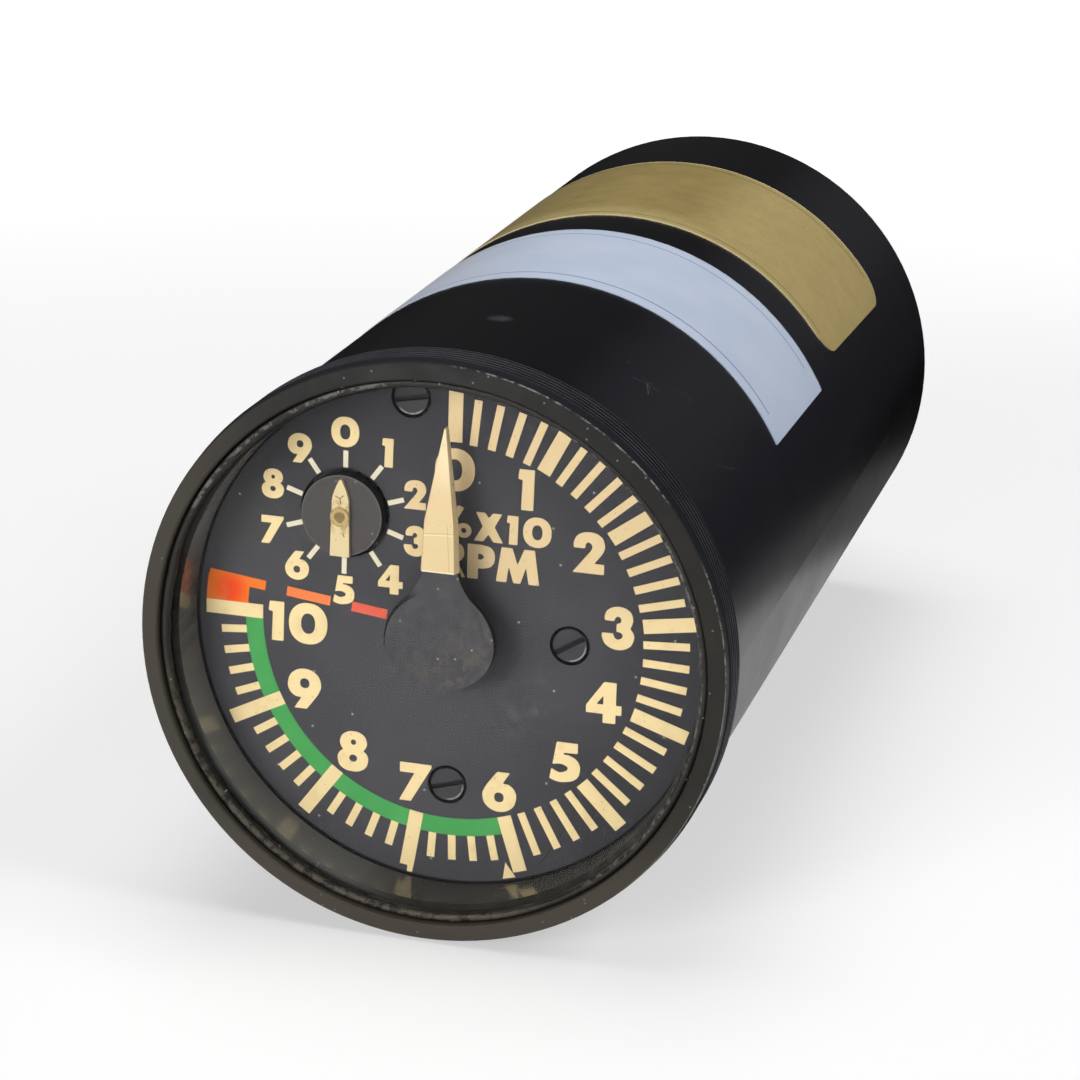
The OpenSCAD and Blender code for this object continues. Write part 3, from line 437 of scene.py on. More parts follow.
# Scratches on the case: the two ends of each as (girth from the top, depth), and half its width
CASE_SCRATCHES = [
    ((15.6, 11.6, 0), (14.9, 13.4, 0), 0.06), ((14.9, 13.4, 0), (15.3, 14.6, 0), 0.05),
    ((13.6, 12.6, 0), (14.9, 13.4, 0), 0.05), ((14.9, 13.4, 0), (16.4, 14.0, 0), 0.04),
    ((15.9, 12.2, 0), (15.2, 13.2, 0), 0.05), ((14.2, 14.4, 0), (15.0, 13.7, 0), 0.035),
    ((17.0, 16.8, 0), (18.4, 18.3, 0), 0.03), ((18.4, 18.3, 0), (18.9, 17.6, 0), 0.03),
    ((24.2, 12.4, 0), (26.3, 17.6, 0), 0.03), ((21.0, 15.4, 0), (22.6, 17.4, 0), 0.025),
    ((12.3, 15.2, 0), (12.7, 15.4, 0), 0.06), ((44.6, 9.0, 0), (45.1, 11.2, 0), 0.05),
]
# Fine lines on the pointer's blade: a crease drawn as a painted highlight with painted shade
# beside it, a painted shade line along the right bevel, and a painted highlight on the lower edge
BLADE_LINES = [((-1.5, -2.0, 10.2), (1.45, -2.0, 10.4), 0.035, rgb(255, 238, 202)),
               ((-1.5, -2.0, 10.35), (1.45, -2.0, 10.55), 0.03, rgb(196, 168, 118)),
               ((1.0, -2.0, 7.1), (0.75, -2.0, 11.2), 0.035, rgb(200, 172, 122)),
               ((-1.6, -2.0, 7.0), (1.6, -2.0, 7.0), 0.06, rgb(255, 246, 220))]
# Ruled lines of the pale label: depth and strength
LABEL_RULES = [(33.2, 0.8), (50.8, 0.6)]
# Dial screws: the middle of each, and in degrees the side where its rim is bare (wear, and also a
# painted highlight) and its slot's turn
DIAL_SCREWS = [((-4.0, 20.9), -90, 11), ((10.75, 0.2), -45, 32), ((0.06, -14.1), -45, 17)]
# Nicks in the units pointer: the two ends of each, from the units pivot
UNITS_NICKS = [((-0.42, 1.85), (-0.02, 1.65)), ((-0.02, 1.65), (0.28, 1.95)),
               ((-0.02, 1.65), (0.05, 1.25)), ((0.28, -1.45), (0.4, -1.75))]
# Front and rear corners of the bezel, as (radius, depth)
BEZEL_CORNERS = [(25.99, -4.61), (26.17, -0.03)]
# Each label: depths of its front and back edges, angles of its ends, radius of its corners, and
# how far askew it is stuck on, in degrees a millimetre
PALE_LABEL = dict(front=31.0, back=52.9, left=-65, right=62.65, corner=0.25, skew=0.028)
GOLD_LABEL = dict(front=60.4, back=89.4, left=-62, right=59.65, corner=3.5, skew=0.059)
# Brass and steel are bright behind this depth and tarnished before it, where they can be seen
BRIGHT_BEHIND = 1.5


def on_dial(x, z):
    """A point of the dial's face."""
    return (x, DIAL_FACE, z)


def by_units(depth, x=0.0, z=0.0):
    """The point x and z from the units pivot, at a depth."""
    return (UNITS_AT[0] + x, depth, UNITS_AT[1] + z)


def case_paint():
    """Semi-matt black, nearly even: a fine grain, a little dust, a painted sheen on the upper
    right, a pale spot near the top, a small star of scratches beside the bezel, a painted
    reflection of the floor on the lower right and a worn rear rim."""
    f = Finish("case_black", rgb(12, 12, 16), 0.34, shine=0.25)
    f.tinted(f.step(f.grain(0.07, 3), 0.45, 0.75, 0.0, 0.5), rgb(20, 20, 25))
    flat = f.unrolled()
    f.tinted(f.times(f.specks(0.35, 0.16, 0.0, 0.3, flat), 0.3), rgb(110, 108, 104))
    # Painted sheen: the upper right of the can is paler, as if it caught the light.
    f.tinted(f.band(f.angle(), 54, 22, 14), rgb(33, 33, 39))
    f.tinted(f.band(f.angle(), 44, 4, 12), rgb(40, 40, 44))
    # Painted reflection of the floor: warm grey streaks on the lower right, near the bezel.
    side = f.band(f.angle(), 108, 14, 20)
    painted_floor_reflection = f.times(side, f.step(f.y, 26.0, 8.0))
    streaks = f.step(f.grain(0.5, 4, 0.65, stretch=(1, 0.4, 1), seed=7.0), 0.3, 0.7, 0.6, 1.0)
    f.tinted(f.times(painted_floor_reflection, streaks), rgb(64, 57, 53))
    # A paler spot near the top.
    pale_spot = f.step(f.vector("DISTANCE", flat, (0.2, 14.8, 0.0)), 1.5, 0.3)
    pale_spot = f.times(pale_spot, f.step(f.grain(0.9, 3, seed=13.0), 0.3, 0.6, 0.5, 1.0))
    f.tinted(pale_spot, rgb(66, 66, 72))
    worn = f.times(f.band(f.y, CASE_BACK - 0.2, 0.1, 0.25),
                   f.step(f.grain(0.9, 4, seed=3.0), 0.5, 0.7, 0.0, 0.6))
    for start, end, half in CASE_SCRATCHES:
        worn = f.either(worn, f.stroke(flat, start, end, half))
    broken = f.step(f.grain(1.8, 3, seed=11.0), 0.38, 0.6, 0.2, 0.75)
    f.tinted(f.times(worn, broken), rgb(92, 92, 98))
    f.colour()
    f.rough(f.step(f.grain(0.16, 4, 0.6, seed=9.0), 0.3, 0.75, 0.32, 0.37))
    f.relief(f.grain(2.5, 3, 0.6), 0.006)
    return f.mat


def bezel_anodising():
    """Matt black gone brown, with painted shade at the top and painted light low down and at
    the left. It is bluer on the grooved side, where the lands carry a painted highlight. The
    front corner is bare in a few places and both corners are paler at the right: wear that also
    serves as a painted highlight on the edges."""
    f = Finish("bezel_black", rgb(45, 43, 39), 0.55, shine=0.2)
    r, a = f.radius(), f.angle()
    f.tinted(f.step(f.grain(0.25, 4, 0.6), 0.4, 0.75, 0.0, 0.7), rgb(54, 51, 45))
    # Painted shade at the top of the bezel, and painted light low down and at the left.
    f.tinted(f.step(f.z, 2.0, 20.0, 0.0, 0.8), rgb(36, 35, 35))
    f.tinted(f.either(f.step(f.z, -8.0, -22.0, 0.0, 0.9), f.step(f.x, -12.0, -24.0, 0.0, 0.7)),
             rgb(84, 79, 70))
    f.tinted(f.times(f.specks(0.8, 0.22, 4.0, 0.16, f.faced()), 0.6), rgb(150, 146, 136))
    side = f.times(f.step(f.y, -4.62, -4.45), f.step(r, 25.7, 25.9))
    f.tinted(side, rgb(30, 31, 36))
    # Painted highlight along the lands between the grooves, all round.
    land_highlights = f.times(f.band(r, BEZEL_R, 0.012, 0.015),
                    f.step(f.grain(0.3, 4, seed=4.0), 0.35, 0.7, 0.5, 1.0))
    f.tinted(land_highlights, rgb(74, 74, 80))
    # Worn patches on the corners, which also serve as a painted highlight on the edges.
    broken = f.step(f.grain(1.6, 5, 0.7, seed=5.0), 0.42, 0.58)
    bare = f.either(f.band(a, 15, 9, 4), f.band(a, 40, 9, 4))
    bare = f.times(f.either(bare, f.band(a, 78, 10, 5)), broken)
    right = f.times(f.band(a, 112, 20, 8), f.step(broken, 0.0, 1.0, 0.55, 1.0))
    (front_r, front_y), (rear_r, rear_y) = BEZEL_CORNERS
    front = f.times(f.band(r, front_r, 0.04, 0.05), f.band(f.y, front_y, 0.06, 0.06))
    rear = f.times(f.band(r, rear_r, 0.05, 0.05), f.band(f.y, rear_y, 0.07, 0.05))
    worn = f.math("ADD", f.times(front, f.either(bare, right)), f.times(rear, right))
    f.tinted(worn, rgb(132, 130, 126))
    f.colour()
    f.rough(f.step(f.grain(0.4, 4, seed=2.0), 0.3, 0.7, 0.5, 0.6))
    return f.mat


def clear_glass():
    """Cover glass, coated against reflections. Lamps reach the dial through it, because shadow rays
    meet a clear film."""
    f = Finish("glass", rgb(254, 254, 254), 0.0)
    f.shader.inputs["Transmission Weight"].default_value = 1.0
    f.shader.inputs["IOR"].default_value = 1.15
    film = f.node("ShaderNodeBsdfTransparent", Color=rgb(252, 253, 253))
    path = f.node("ShaderNodeLightPath")
    f.joined("ShaderNodeMixShader", film, Fac=path.outputs["Is Shadow Ray"])
    return f.mat


def sealant_black():
    """Brown-black rubber, rather matt. It is lighter, dusty and cracked at the lower left, where a
    painted shade darkens its outer foot, and pale flecks of painted highlight mark its inner edge
    at the right and the upper left."""
    f = Finish("sealant", rgb(40, 38, 35), 0.42, shine=0.3)
    r, a = f.radius(), f.angle()
    low = f.either(f.step(a, -112, -92, 1.0, 0.0), f.step(a, 150, 168))
    f.tinted(f.times(low, f.band(r, 23.98, 0.2, 0.12)), rgb(86, 80, 69))
    crack = f.times(low, f.step(f.grain(1.1, 5, 0.7, seed=14.0), 0.48, 0.54))
    f.tinted(f.times(crack, 0.85), rgb(20, 19, 18))
    # Painted shade at the lower left: the bead's outer foot and underside are darkened.
    painted_shade_foot = f.either(f.step(r, 24.30, 24.42), f.step(f.y, -3.95, -3.80))
    f.tinted(f.times(painted_shade_foot, low), rgb(16, 15, 14))
    # Painted highlight: pale flecks along the inner edge at the right and upper left.
    highlight_flecks = f.step(f.grain(1.5, 5, 0.7), 0.46, 0.58)
    right = f.times(f.band(a, 85, 52, 12), f.step(r, 24.0, 23.9))
    left = f.times(f.band(a, -36, 24, 6), f.band(r, 24.05, 0.12, 0.1))
    f.tinted(f.times(f.either(right, left), highlight_flecks), rgb(112, 110, 104))
    f.tinted(f.times(f.specks(0.8, 0.2, 2.0, 0.25, f.faced()), 0.8), rgb(170, 166, 154))
    f.colour()
    f.rough(f.step(f.grain(2.0, 4, seed=4.0), 0.35, 0.7, 0.34, 0.52))
    f.relief(f.grain(1.8, 5, 0.6, seed=1.0), 0.1)
    return f.mat


def mask_gloss():
    """Glossy inner wall in grey-brown, which mirrors the marks on the dial. Its streaks towards
    the glass are painted reflections of the marks. It has painted light at the left, it is
    darker at the bottom, and its foot is painted black as painted shade."""
    f = Finish("mask_black", rgb(84, 82, 79), 0.12, shine=0.5)
    f.tinted(f.step(f.grain(0.6, 3), 0.45, 0.75, 0.0, 0.6), rgb(98, 92, 82))
    # Painted reflections of the dial's marks: dark and light streaks running towards the glass.
    painted_tick_reflections = f.grain(0.9, 3, 0.6, stretch=(1, 0.15, 1), seed=31.0)
    f.tinted(f.step(painted_tick_reflections, 0.42, 0.62, 0.0, 0.75), rgb(60, 58, 54))
    f.tinted(f.step(painted_tick_reflections, 0.44, 0.30, 0.0, 0.6), rgb(108, 101, 86))
    f.tinted(f.times(f.step(f.z, -14.0, -22.0), 0.8), rgb(58, 55, 48))
    # Painted light on the wall at the lower left and the upper left.
    f.tinted(f.times(f.band(f.angle(), -132, 22, 24), 0.85), rgb(116, 115, 112))
    f.tinted(f.times(f.band(f.angle(), -50, 18, 16), 0.85), rgb(128, 125, 122))
    # Painted shade: the foot of the wall, by the dial, is near black.
    f.tinted(f.step(f.y, 1.95, 2.15), rgb(16, 16, 17))
    f.tinted(f.times(f.specks(0.5, 0.2, 6.0, 0.3, f.unrolled()), 0.7), rgb(170, 168, 160))
    f.colour()
    f.rough(f.step(f.grain(0.8, 3, seed=8.0), 0.3, 0.7, 0.13, 0.24))
    return f.mat


def dial_paint():
    """Matt dark grey, darker towards the upper right edge, with painted light towards the
    upper left, a slow mottle, dust, a rubbed patch and a hair scratch. The walls of the holes,
    and the rim under the mask, are painted black as painted shade."""
    f = Finish("dial_grey", rgb(70, 69, 73), 0.8, shine=0.2)
    f.tinted(f.step(f.grain(0.12, 4), 0.38, 0.68), rgb(76, 75, 79))
    # Painted light: the dial is paler towards the upper left.
    f.tinted(f.step(f.distance(on_dial(-18.0, 16.0)), 16.0, 4.0, 0.0, 0.8), rgb(86, 84, 83))
    rim = f.times(f.step(f.radius(), 9.0, 21.5, 0.0, 0.95),
                  f.step(f.math("ADD", f.x, f.z), -18.0, 2.0))
    f.tinted(rim, rgb(56, 55, 59))
    f.tinted(f.step(f.grain(1.4, 5, 0.7, seed=3.0), 0.52, 0.72, 0.0, 0.4), rgb(92, 91, 94))
    rubbed = f.step(f.distance(on_dial(7.2, -5.6)), 4.5, 0.5)
    wisps = f.step(f.grain(0.7, 5, 0.7, stretch=(0.6, 1, 1), seed=17.0), 0.5, 0.66, 0.0, 0.55)
    f.tinted(f.times(rubbed, wisps), rgb(104, 103, 106))
    hair = f.stroke(f.at, on_dial(8.8, -20.4), on_dial(10.9, -16.9), 0.04)
    f.tinted(f.times(hair, 0.7), rgb(28, 27, 28))
    front = f.faced()
    f.tinted(f.times(f.specks(0.28, 0.3, 1.0, 0.3, front), 0.75), rgb(168, 166, 164))
    f.tinted(f.times(f.specks(0.9, 0.15, 12.0, 0.3, front), 0.4), rgb(140, 138, 138))
    # Painted shade: the walls of the holes and the rim under the mask are near black.
    f.tinted(f.either(f.step(f.y, 2.42, 2.5), f.step(f.radius(), 23.1, 23.2)), rgb(14, 14, 15))
    f.colour()
    return f.mat


def cream_print():
    """Aged luminous paint: slow yellowing, pits and a fine grain. The dial's prints have painted
    light that makes them paler away from the upper right, the units marks are whiter, and the
    units pointer is stained round its pivot, with a small scratch above it and a nick below.
    The pointer's blade has painted light at its tip, painted shade on its lower part, and
    painted highlights and shade along a crease and its edges."""
    f = Finish("cream_paint", rgb(236, 209, 160), 0.75, shine=0.25)
    units = f.distance(by_units(1.2))
    prints = f.step(f.y, 1.9, 2.2)
    # Painted light: the prints are paler away from the upper right.
    painted_light_lower_left = f.step(f.distance(on_dial(9.0, 17.0)), 11.0, 21.0)
    f.tinted(f.times(prints, painted_light_lower_left), rgb(255, 229, 171))
    f.tinted(f.step(f.grain(0.6, 4, 0.6), 0.45, 0.8, 0.0, 0.6), rgb(234, 203, 148))
    near = f.step(units, 5.85, 5.75)
    f.tinted(f.times(near, prints), rgb(240, 230, 202))
    baton = f.times(near, f.times(f.step(f.y, 1.9, 1.7), f.step(f.y, 0.6, 0.8)))
    f.tinted(baton, rgb(232, 211, 162))
    stain = f.times(f.step(units, 1.9, 0.9), f.step(f.grain(1.5, 4, seed=21.0), 0.42, 0.62))
    f.tinted(f.times(baton, stain), rgb(184, 156, 98))
    blade = f.step(f.y, 0.2, 0.0)
    # Painted light at the blade's tip and painted shade on its lower part.
    f.tinted(f.times(blade, f.step(f.z, 13.0, 17.0)), rgb(255, 230, 184))
    f.tinted(f.times(blade, f.step(f.z, 13.0, 9.0, 0.0, 0.7)), rgb(228, 202, 154))
    # Painted highlights and painted shade along the blade's crease and edges.
    for start, end, half, tone in BLADE_LINES:
        f.tinted(f.times(f.stroke(f.at, start, end, half), 0.7), tone)
    nicks = 0.0
    for start, end in UNITS_NICKS:
        nicks = f.either(nicks, f.stroke(f.at, by_units(0.95, *start), by_units(0.95, *end), 0.05))
    f.tinted(f.times(nicks, 0.8), rgb(96, 74, 40))
    f.tinted(f.times(f.specks(0.9, 0.16, 0.0, 0.3, f.faced()), 0.5), rgb(140, 116, 78))
    f.colour()
    f.relief(f.grain(2.0, 4, 0.6, seed=2.0), 0.01)
    return f.mat


def green_print():
    """Matt green paint with a faint mottle."""
    f = Finish("green_paint", rgb(74, 166, 86), 0.75, shine=0.25)
    f.tinted(f.step(f.grain(0.5, 4, seed=3.0), 0.4, 0.75, 0.0, 0.7), rgb(88, 176, 98))
    f.tinted(f.times(f.specks(1.7, 0.09, 3.0), 0.4), rgb(50, 96, 56))
    f.colour()
    f.relief(f.grain(2.0, 4, 0.6, seed=5.0), 0.01)
    return f.mat


def red_print():
    """Matt red paint, faded unevenly: the outer block is orange with a deeper middle, and the two
    inner bars are salmon and pink."""
    f = Finish("red_paint", rgb(255, 126, 34), 0.75, shine=0.2)
    deep = f.distance((-20.3, 2.35, 1.75))
    f.tinted(f.step(deep, 2.2, 0.4), rgb(255, 76, 12))
    f.tinted(f.step(f.x, -16.2, -15.6), rgb(252, 134, 74))
    f.tinted(f.step(f.x, -10.4, -9.6), rgb(240, 104, 82))
    f.tinted(f.step(f.grain(1.0, 4, seed=5.0), 0.45, 0.8, 0.0, 0.35), rgb(240, 150, 96))
    f.colour()
    f.relief(f.grain(2.0, 4, 0.6, seed=7.0), 0.01)
    return f.mat


def black_screw():
    """Blackened screws: dull heads, sides painted dark as painted shade, painted shade along both
    edges of each slot, and a bare crescent on the rim of each head that is wear and also a
    painted highlight."""
    f = Finish("black_screw", rgb(62, 61, 65), 0.6, shine=0.25)
    f.tinted(f.step(f.grain(1.2, 4, 0.65), 0.42, 0.7), rgb(50, 49, 52))
    head, rim_r, slot_half = DIAL_FACE + 0.05, 1.40, 0.19
    bare = 0.0
    for (x, z), side, turn in DIAL_SCREWS:
        off = f.vector("SUBTRACT", f.at, (x, head, z))
        a, b = math.radians(side), math.radians(turn)
        toward = f.vector("DOT_PRODUCT", off, (math.cos(a), 0, math.sin(a)))
        rim = f.band(f.vector("LENGTH", f.vector("MULTIPLY", off, (1, 0, 1))), rim_r, 0.04, 0.05)
        bare = f.either(bare, f.times(rim, f.step(toward, 0.85, 1.15)))
        here = f.step(f.vector("LENGTH", off), 1.9, 1.8)
        # Painted shade along both edges of each slot.
        across = f.math("ABSOLUTE", f.vector("DOT_PRODUCT", off, (-math.sin(b), 0, math.cos(b))))
        edge = f.times(f.band(across, slot_half, 0.03, 0.06), here)
        f.tinted(f.times(edge, 0.8), rgb(14, 14, 15))
    # The bare crescent on each rim is wear and also a painted highlight.
    broken = f.step(f.grain(2.0, 3, seed=8.0), 0.3, 0.5, 0.3, 1.0)
    f.tinted(f.times(bare, broken), rgb(150, 148, 144))
    # Painted shade: the sides of the heads are near black.
    f.tinted(f.times(f.step(f.y, head + 0.02, head + 0.08), 0.9), rgb(12, 12, 13))
    f.colour()
    return f.mat


def cover_paint():
    """Blackened metal with lighter worn patches and a fine grain."""
    f = Finish("cover_black", rgb(24, 24, 26), 0.5, metal=0.2, shine=0.4)
    f.tinted(f.step(f.grain(1.4, 5, 0.65), 0.45, 0.75, 0.0, 0.7), rgb(40, 40, 43))
    f.tinted(f.times(f.specks(2.0, 0.08, 5.0), 0.4), rgb(150, 150, 150))
    f.colour()
    f.rough(f.step(f.grain(2.2, 3, seed=6.0), 0.3, 0.7, 0.42, 0.62))
    return f.mat


def pointer_black():
    """Grey-black paint on the hub and the units disc, mottled and brown where it has been touched.
    Both have sides painted black as painted shade, the disc a painted highlight round its edge,
    and the hub a painted shade line round its lower left edge and a painted highlight at the
    right."""
    f = Finish("pointer_black", rgb(66, 65, 70), 0.65, shine=0.2)
    f.tinted(f.step(f.grain(0.7, 5, 0.75), 0.42, 0.66, 0.0, 0.8), rgb(80, 78, 81))
    touched = f.step(f.math("SUBTRACT", f.x, f.z), -2.5, 3.5, 0.35, 1.0)
    blots = f.step(f.grain(1.3, 6, 0.8, seed=9.0), 0.47, 0.58, 0.0, 0.8)
    f.tinted(f.times(touched, blots), rgb(90, 86, 79))
    f.tinted(f.step(f.grain(1.7, 5, 0.75, seed=19.0), 0.54, 0.64, 0.0, 0.5), rgb(58, 56, 56))
    f.tinted(f.step(f.y, 0.8, 1.2, 0.0, 0.75), rgb(80, 76, 73))
    f.tinted(f.times(f.specks(0.6, 0.24, 5.0, 0.2, f.faced()), 0.7), rgb(160, 158, 154))
    hub, hub_front, disc_front = f.step(f.y, 0.2, 0.0), -1.25, 1.35
    # Painted shade: a dark line round the hub's lower left edge.
    outline = f.times(f.step(f.radius(), 4.80, 4.86), f.step(f.math("ADD", f.x, f.z), 3.0, 1.0))
    # Painted highlight round the units disc's front edge.
    disc_edge_highlight = f.band(f.distance(by_units(disc_front)), UNITS_DISC_R, 0.03, 0.03)
    f.tinted(disc_edge_highlight, rgb(104, 100, 96))
    # Painted shade: the sides of the hub and the units disc are near black.
    hub_side = f.times(f.step(f.y, hub_front - 0.02, hub_front + 0.01), hub)
    painted_shade_sides = f.either(f.step(f.y, disc_front + 0.02, disc_front + 0.05), hub_side)
    f.tinted(f.either(painted_shade_sides, f.times(outline, hub)), rgb(20, 20, 22))
    # Painted highlight on the hub's edge at the right.
    rim = f.times(f.band(f.y, hub_front, 0.02, 0.015), f.step(f.math("ADD", f.x, f.z), 2.5, 4.0))
    f.tinted(rim, rgb(138, 136, 138))
    f.colour()
    f.rough(f.step(f.grain(0.8, 3, seed=6.0), 0.3, 0.7, 0.55, 0.72))
    return f.mat


def turned_metal(name, colour, dark, rough=0.3, metal=1.0, front=None):
    """Bare metal with fine machining lines: noise stretched along the cut. The front, given as a
    depth and a colour, is tarnished on brass and steel and painted near black as painted shade on
    the plate, with worn rings round the units pivot."""
    f = Finish(name, colour, rough, metal=metal)
    f.tinted(f.step(f.grain(0.6, 4), 0.4, 0.8, 0.0, 0.6), dark)
    if front:
        depth, tone = front
        seen = f.step(f.y, depth + 0.1, depth)
        f.tinted(seen, tone)
        swirl = f.math("PINGPONG", f.distance(by_units(0.8)), 0.16)
        worn = f.times(f.step(swirl, 0.11, 0.15), f.step(f.grain(1.6, 3, seed=4.0), 0.35, 0.6))
        f.tinted(f.times(worn, seen), tuple(0.35 * c for c in tone[:3]) + (1.0,))
        f.put(f.shader.inputs["Metallic"], f.times(f.step(f.y, depth, depth + 0.1), metal))
    f.colour()
    lines = f.grain(1.5, 3, 0.5, stretch=(1, 14, 1))
    f.rough(f.step(lines, 0.3, 0.7, rough - 0.08, rough + 0.12))
    f.relief(lines, 0.01)
    return f.mat


def stacked_steel():
    """Laminations: thin dark seams across the stack every 0.5 mm."""
    f = Finish("laminations", rgb(116, 116, 122), 0.5, metal=0.8)
    seam = f.math("PINGPONG", f.y, 0.25)
    f.tinted(f.step(seam, 0.0, 0.07, 1.0, 0.0), rgb(40, 40, 44))
    f.tinted(f.step(f.grain(0.7, 4), 0.5, 0.8, 0.0, 0.5), rgb(86, 74, 62))
    f.colour()
    f.relief(f.step(seam, 0.0, 0.1), 0.04)
    return f.mat


def pale_label():
    """Blue-white coated paper: greyer at the left, with fine ruled lines and a grubby rear edge."""
    f = Finish("label_paper", rgb(212, 224, 244), 0.42, shine=0.3)
    f.tinted(f.step(f.grain(0.12, 4), 0.35, 0.75, 0.0, 0.6), rgb(196, 211, 238))
    f.tinted(f.step(f.angle(), 5, -45, 0.0, 0.7), rgb(210, 214, 222))
    f.tinted(f.step(f.grain(2.5, 4, 0.7), 0.6, 0.8, 0.0, 0.4), rgb(226, 232, 240))
    inside = f.times(f.step(f.angle(), 57.0, 56.4), f.step(f.angle(), -60.0, -59.4))
    for depth, strength in LABEL_RULES:
        line = f.times(f.band(f.y, depth, 0.08, 0.05), inside)
        f.tinted(f.times(line, strength), rgb(58, 78, 140))
    rim = f.times(f.band(f.y, PALE_LABEL["back"], 0.05, 0.5),
                  f.step(f.grain(1.0, 4, seed=2.0), 0.4, 0.6))
    f.tinted(f.times(rim, 0.5), rgb(150, 160, 176))
    f.colour()
    f.relief(f.grain(1.2, 4, 0.6, seed=5.0), 0.03)
    return f.mat


def gold_label():
    """Matt gold foil: a pale edge that is a painted highlight, a fine dark border inside it and
    slow creases. It has painted light at the upper right and along the front, and a greyer
    painted sheen at the left."""
    f = Finish("label_gold", rgb(168, 148, 90), 0.45, metal=0.15, shine=0.4)
    f.tinted(f.step(f.grain(0.1, 4), 0.35, 0.7, 0.0, 0.8), rgb(180, 158, 98))
    # Painted light at the upper right and along the front, and a greyer painted sheen at the left.
    f.tinted(f.either(f.band(f.angle(), 42, 16, 18), f.step(f.y, 67, 61)), rgb(204, 182, 122))
    f.tinted(f.step(f.angle(), -10, -50, 0.0, 0.6), rgb(150, 138, 108))
    scuffs = f.grain(4.0, 3, 0.7, stretch=(1, 0.3, 1))
    f.tinted(f.step(scuffs, 0.5, 0.8, 0.0, 0.3), rgb(132, 112, 62))
    front, back = GOLD_LABEL["front"], GOLD_LABEL["back"]
    border = f.either(f.band(f.y, front + 1.5, 0.06, 0.06), f.band(f.y, back - 1.5, 0.06, 0.06))
    border = f.times(border, f.step(f.math("ABSOLUTE", f.angle()), 54.5, 54.0))
    f.tinted(f.times(border, 0.7), rgb(78, 66, 34))
    # Painted highlight along the front and back edges.
    edge = f.either(f.step(f.y, front + 0.45, front + 0.25),
                    f.step(f.y, back - 0.35, back - 0.15))
    f.tinted(edge, rgb(236, 220, 170))
    f.colour()
    f.rough(f.step(f.grain(0.5, 4, seed=3.0), 0.3, 0.7, 0.36, 0.5))
    f.relief(f.grain(1.0, 5, 0.6, seed=6.0), 0.03)
    return f.mat


def ruby():
    """Synthetic ruby, half clear and a little cloudy."""
    f = Finish("jewel", rgb(150, 20, 40), 0.1)
    f.shader.inputs["Transmission Weight"].default_value = 0.6
    f.tinted(f.step(f.grain(2.0, 3), 0.4, 0.7, 0.0, 0.6), rgb(190, 40, 60))
    f.colour()
    return f.mat


def winding():
    """Enamelled copper: fine ridges along the tooth and darker varnish between them."""
    f = Finish("copper", rgb(176, 96, 48), 0.32, metal=0.85)
    ridge = f.math("PINGPONG", f.radius(), 0.15)
    f.tinted(f.step(ridge, 0.0, 0.08, 0.8, 0.0), rgb(84, 36, 16))
    f.tinted(f.step(f.grain(1.0, 4), 0.45, 0.8, 0.0, 0.6), rgb(150, 70, 34))
    f.colour()
    f.relief(f.step(ridge, 0.0, 0.15), 0.05)
    return f.mat


def plain_moulding(name, colour, light, rough=0.6):
    """Moulded insulator or sleeving: a faint mottle and a soft grain."""
    f = Finish(name, colour, rough, shine=0.4)
    f.tinted(f.step(f.grain(0.9, 4), 0.4, 0.8, 0.0, 0.6), light)
    f.colour()
    f.relief(f.grain(5.0, 4, 0.6), 0.02)
    return f.mat


finishes = {
    "black_case": case_paint(),
    "bezel_black": bezel_anodising(),
    "glass": clear_glass(),
    "sealant": sealant_black(),
    "mask_black": mask_gloss(),
    "dial_grey": dial_paint(),
    "cream_paint": cream_print(),
    "green_paint": green_print(),
    "red_paint": red_print(),
    "black_screw": black_screw(),
    "pointer_black": pointer_black(),
    "jewel": ruby(),
    "laminations": stacked_steel(),
    "copper": winding(),
    "cover_black": cover_paint(),
}
# Bare metals: colour, darker patches, roughness, metallic share and what covers the front
METALS = {
    # The plate's near-black front is painted shade where it shows through gaps in the dial.
    "plate_alu": (rgb(196, 196, 192), rgb(160, 160, 158), 0.3, 1.0,
                  (FRONT_PLATE + 0.05, rgb(20, 20, 21))),
    "brass": (rgb(196, 156, 78), rgb(140, 104, 46), 0.3, 1.0,
              (BRIGHT_BEHIND, rgb(194, 166, 104))),
    "steel": (rgb(190, 192, 196), rgb(140, 142, 148), 0.26, 1.0,
              (BRIGHT_BEHIND, rgb(136, 110, 60))),
    "spring_blue": (rgb(60, 74, 130), rgb(36, 44, 84), 0.25),
    "magnet_steel": (rgb(92, 92, 98), rgb(66, 64, 66), 0.45, 0.7),
    "connector_olive": (rgb(104, 104, 74), rgb(76, 78, 50), 0.42, 0.8),
    "contact_gold": (rgb(220, 178, 92), rgb(176, 132, 58), 0.22),
}
MOULDINGS = {
    "lead_insulation": (rgb(214, 214, 204), rgb(196, 192, 176)),
    "insert_black": (rgb(28, 30, 28), rgb(42, 44, 41), 0.7),
}
finishes.update({name: turned_metal(name, *row) for name, row in METALS.items()})
finishes.update({name: plain_moulding(name, *row) for name, row in MOULDINGS.items()})
for row in frame["record"]["subparts"]:
    for held in frame["nodes"][row["node"]].material_slots:
        held.material = finishes[row["material_slot"]]


# Dial printing

PRINTS = {"main_figures": figures(MAIN_AT, 1.0),
          "units_figures": figures(UNITS_FIGURES_AT, SMALL),
          "unit_legend": LEGEND + figures(LEGEND_AT, SMALL),
          "stray_paint": STRAY}
for name, outlines in PRINTS.items():
    printed(name, outlines, "case", finishes["cream_paint"])


# Sealant round the glass

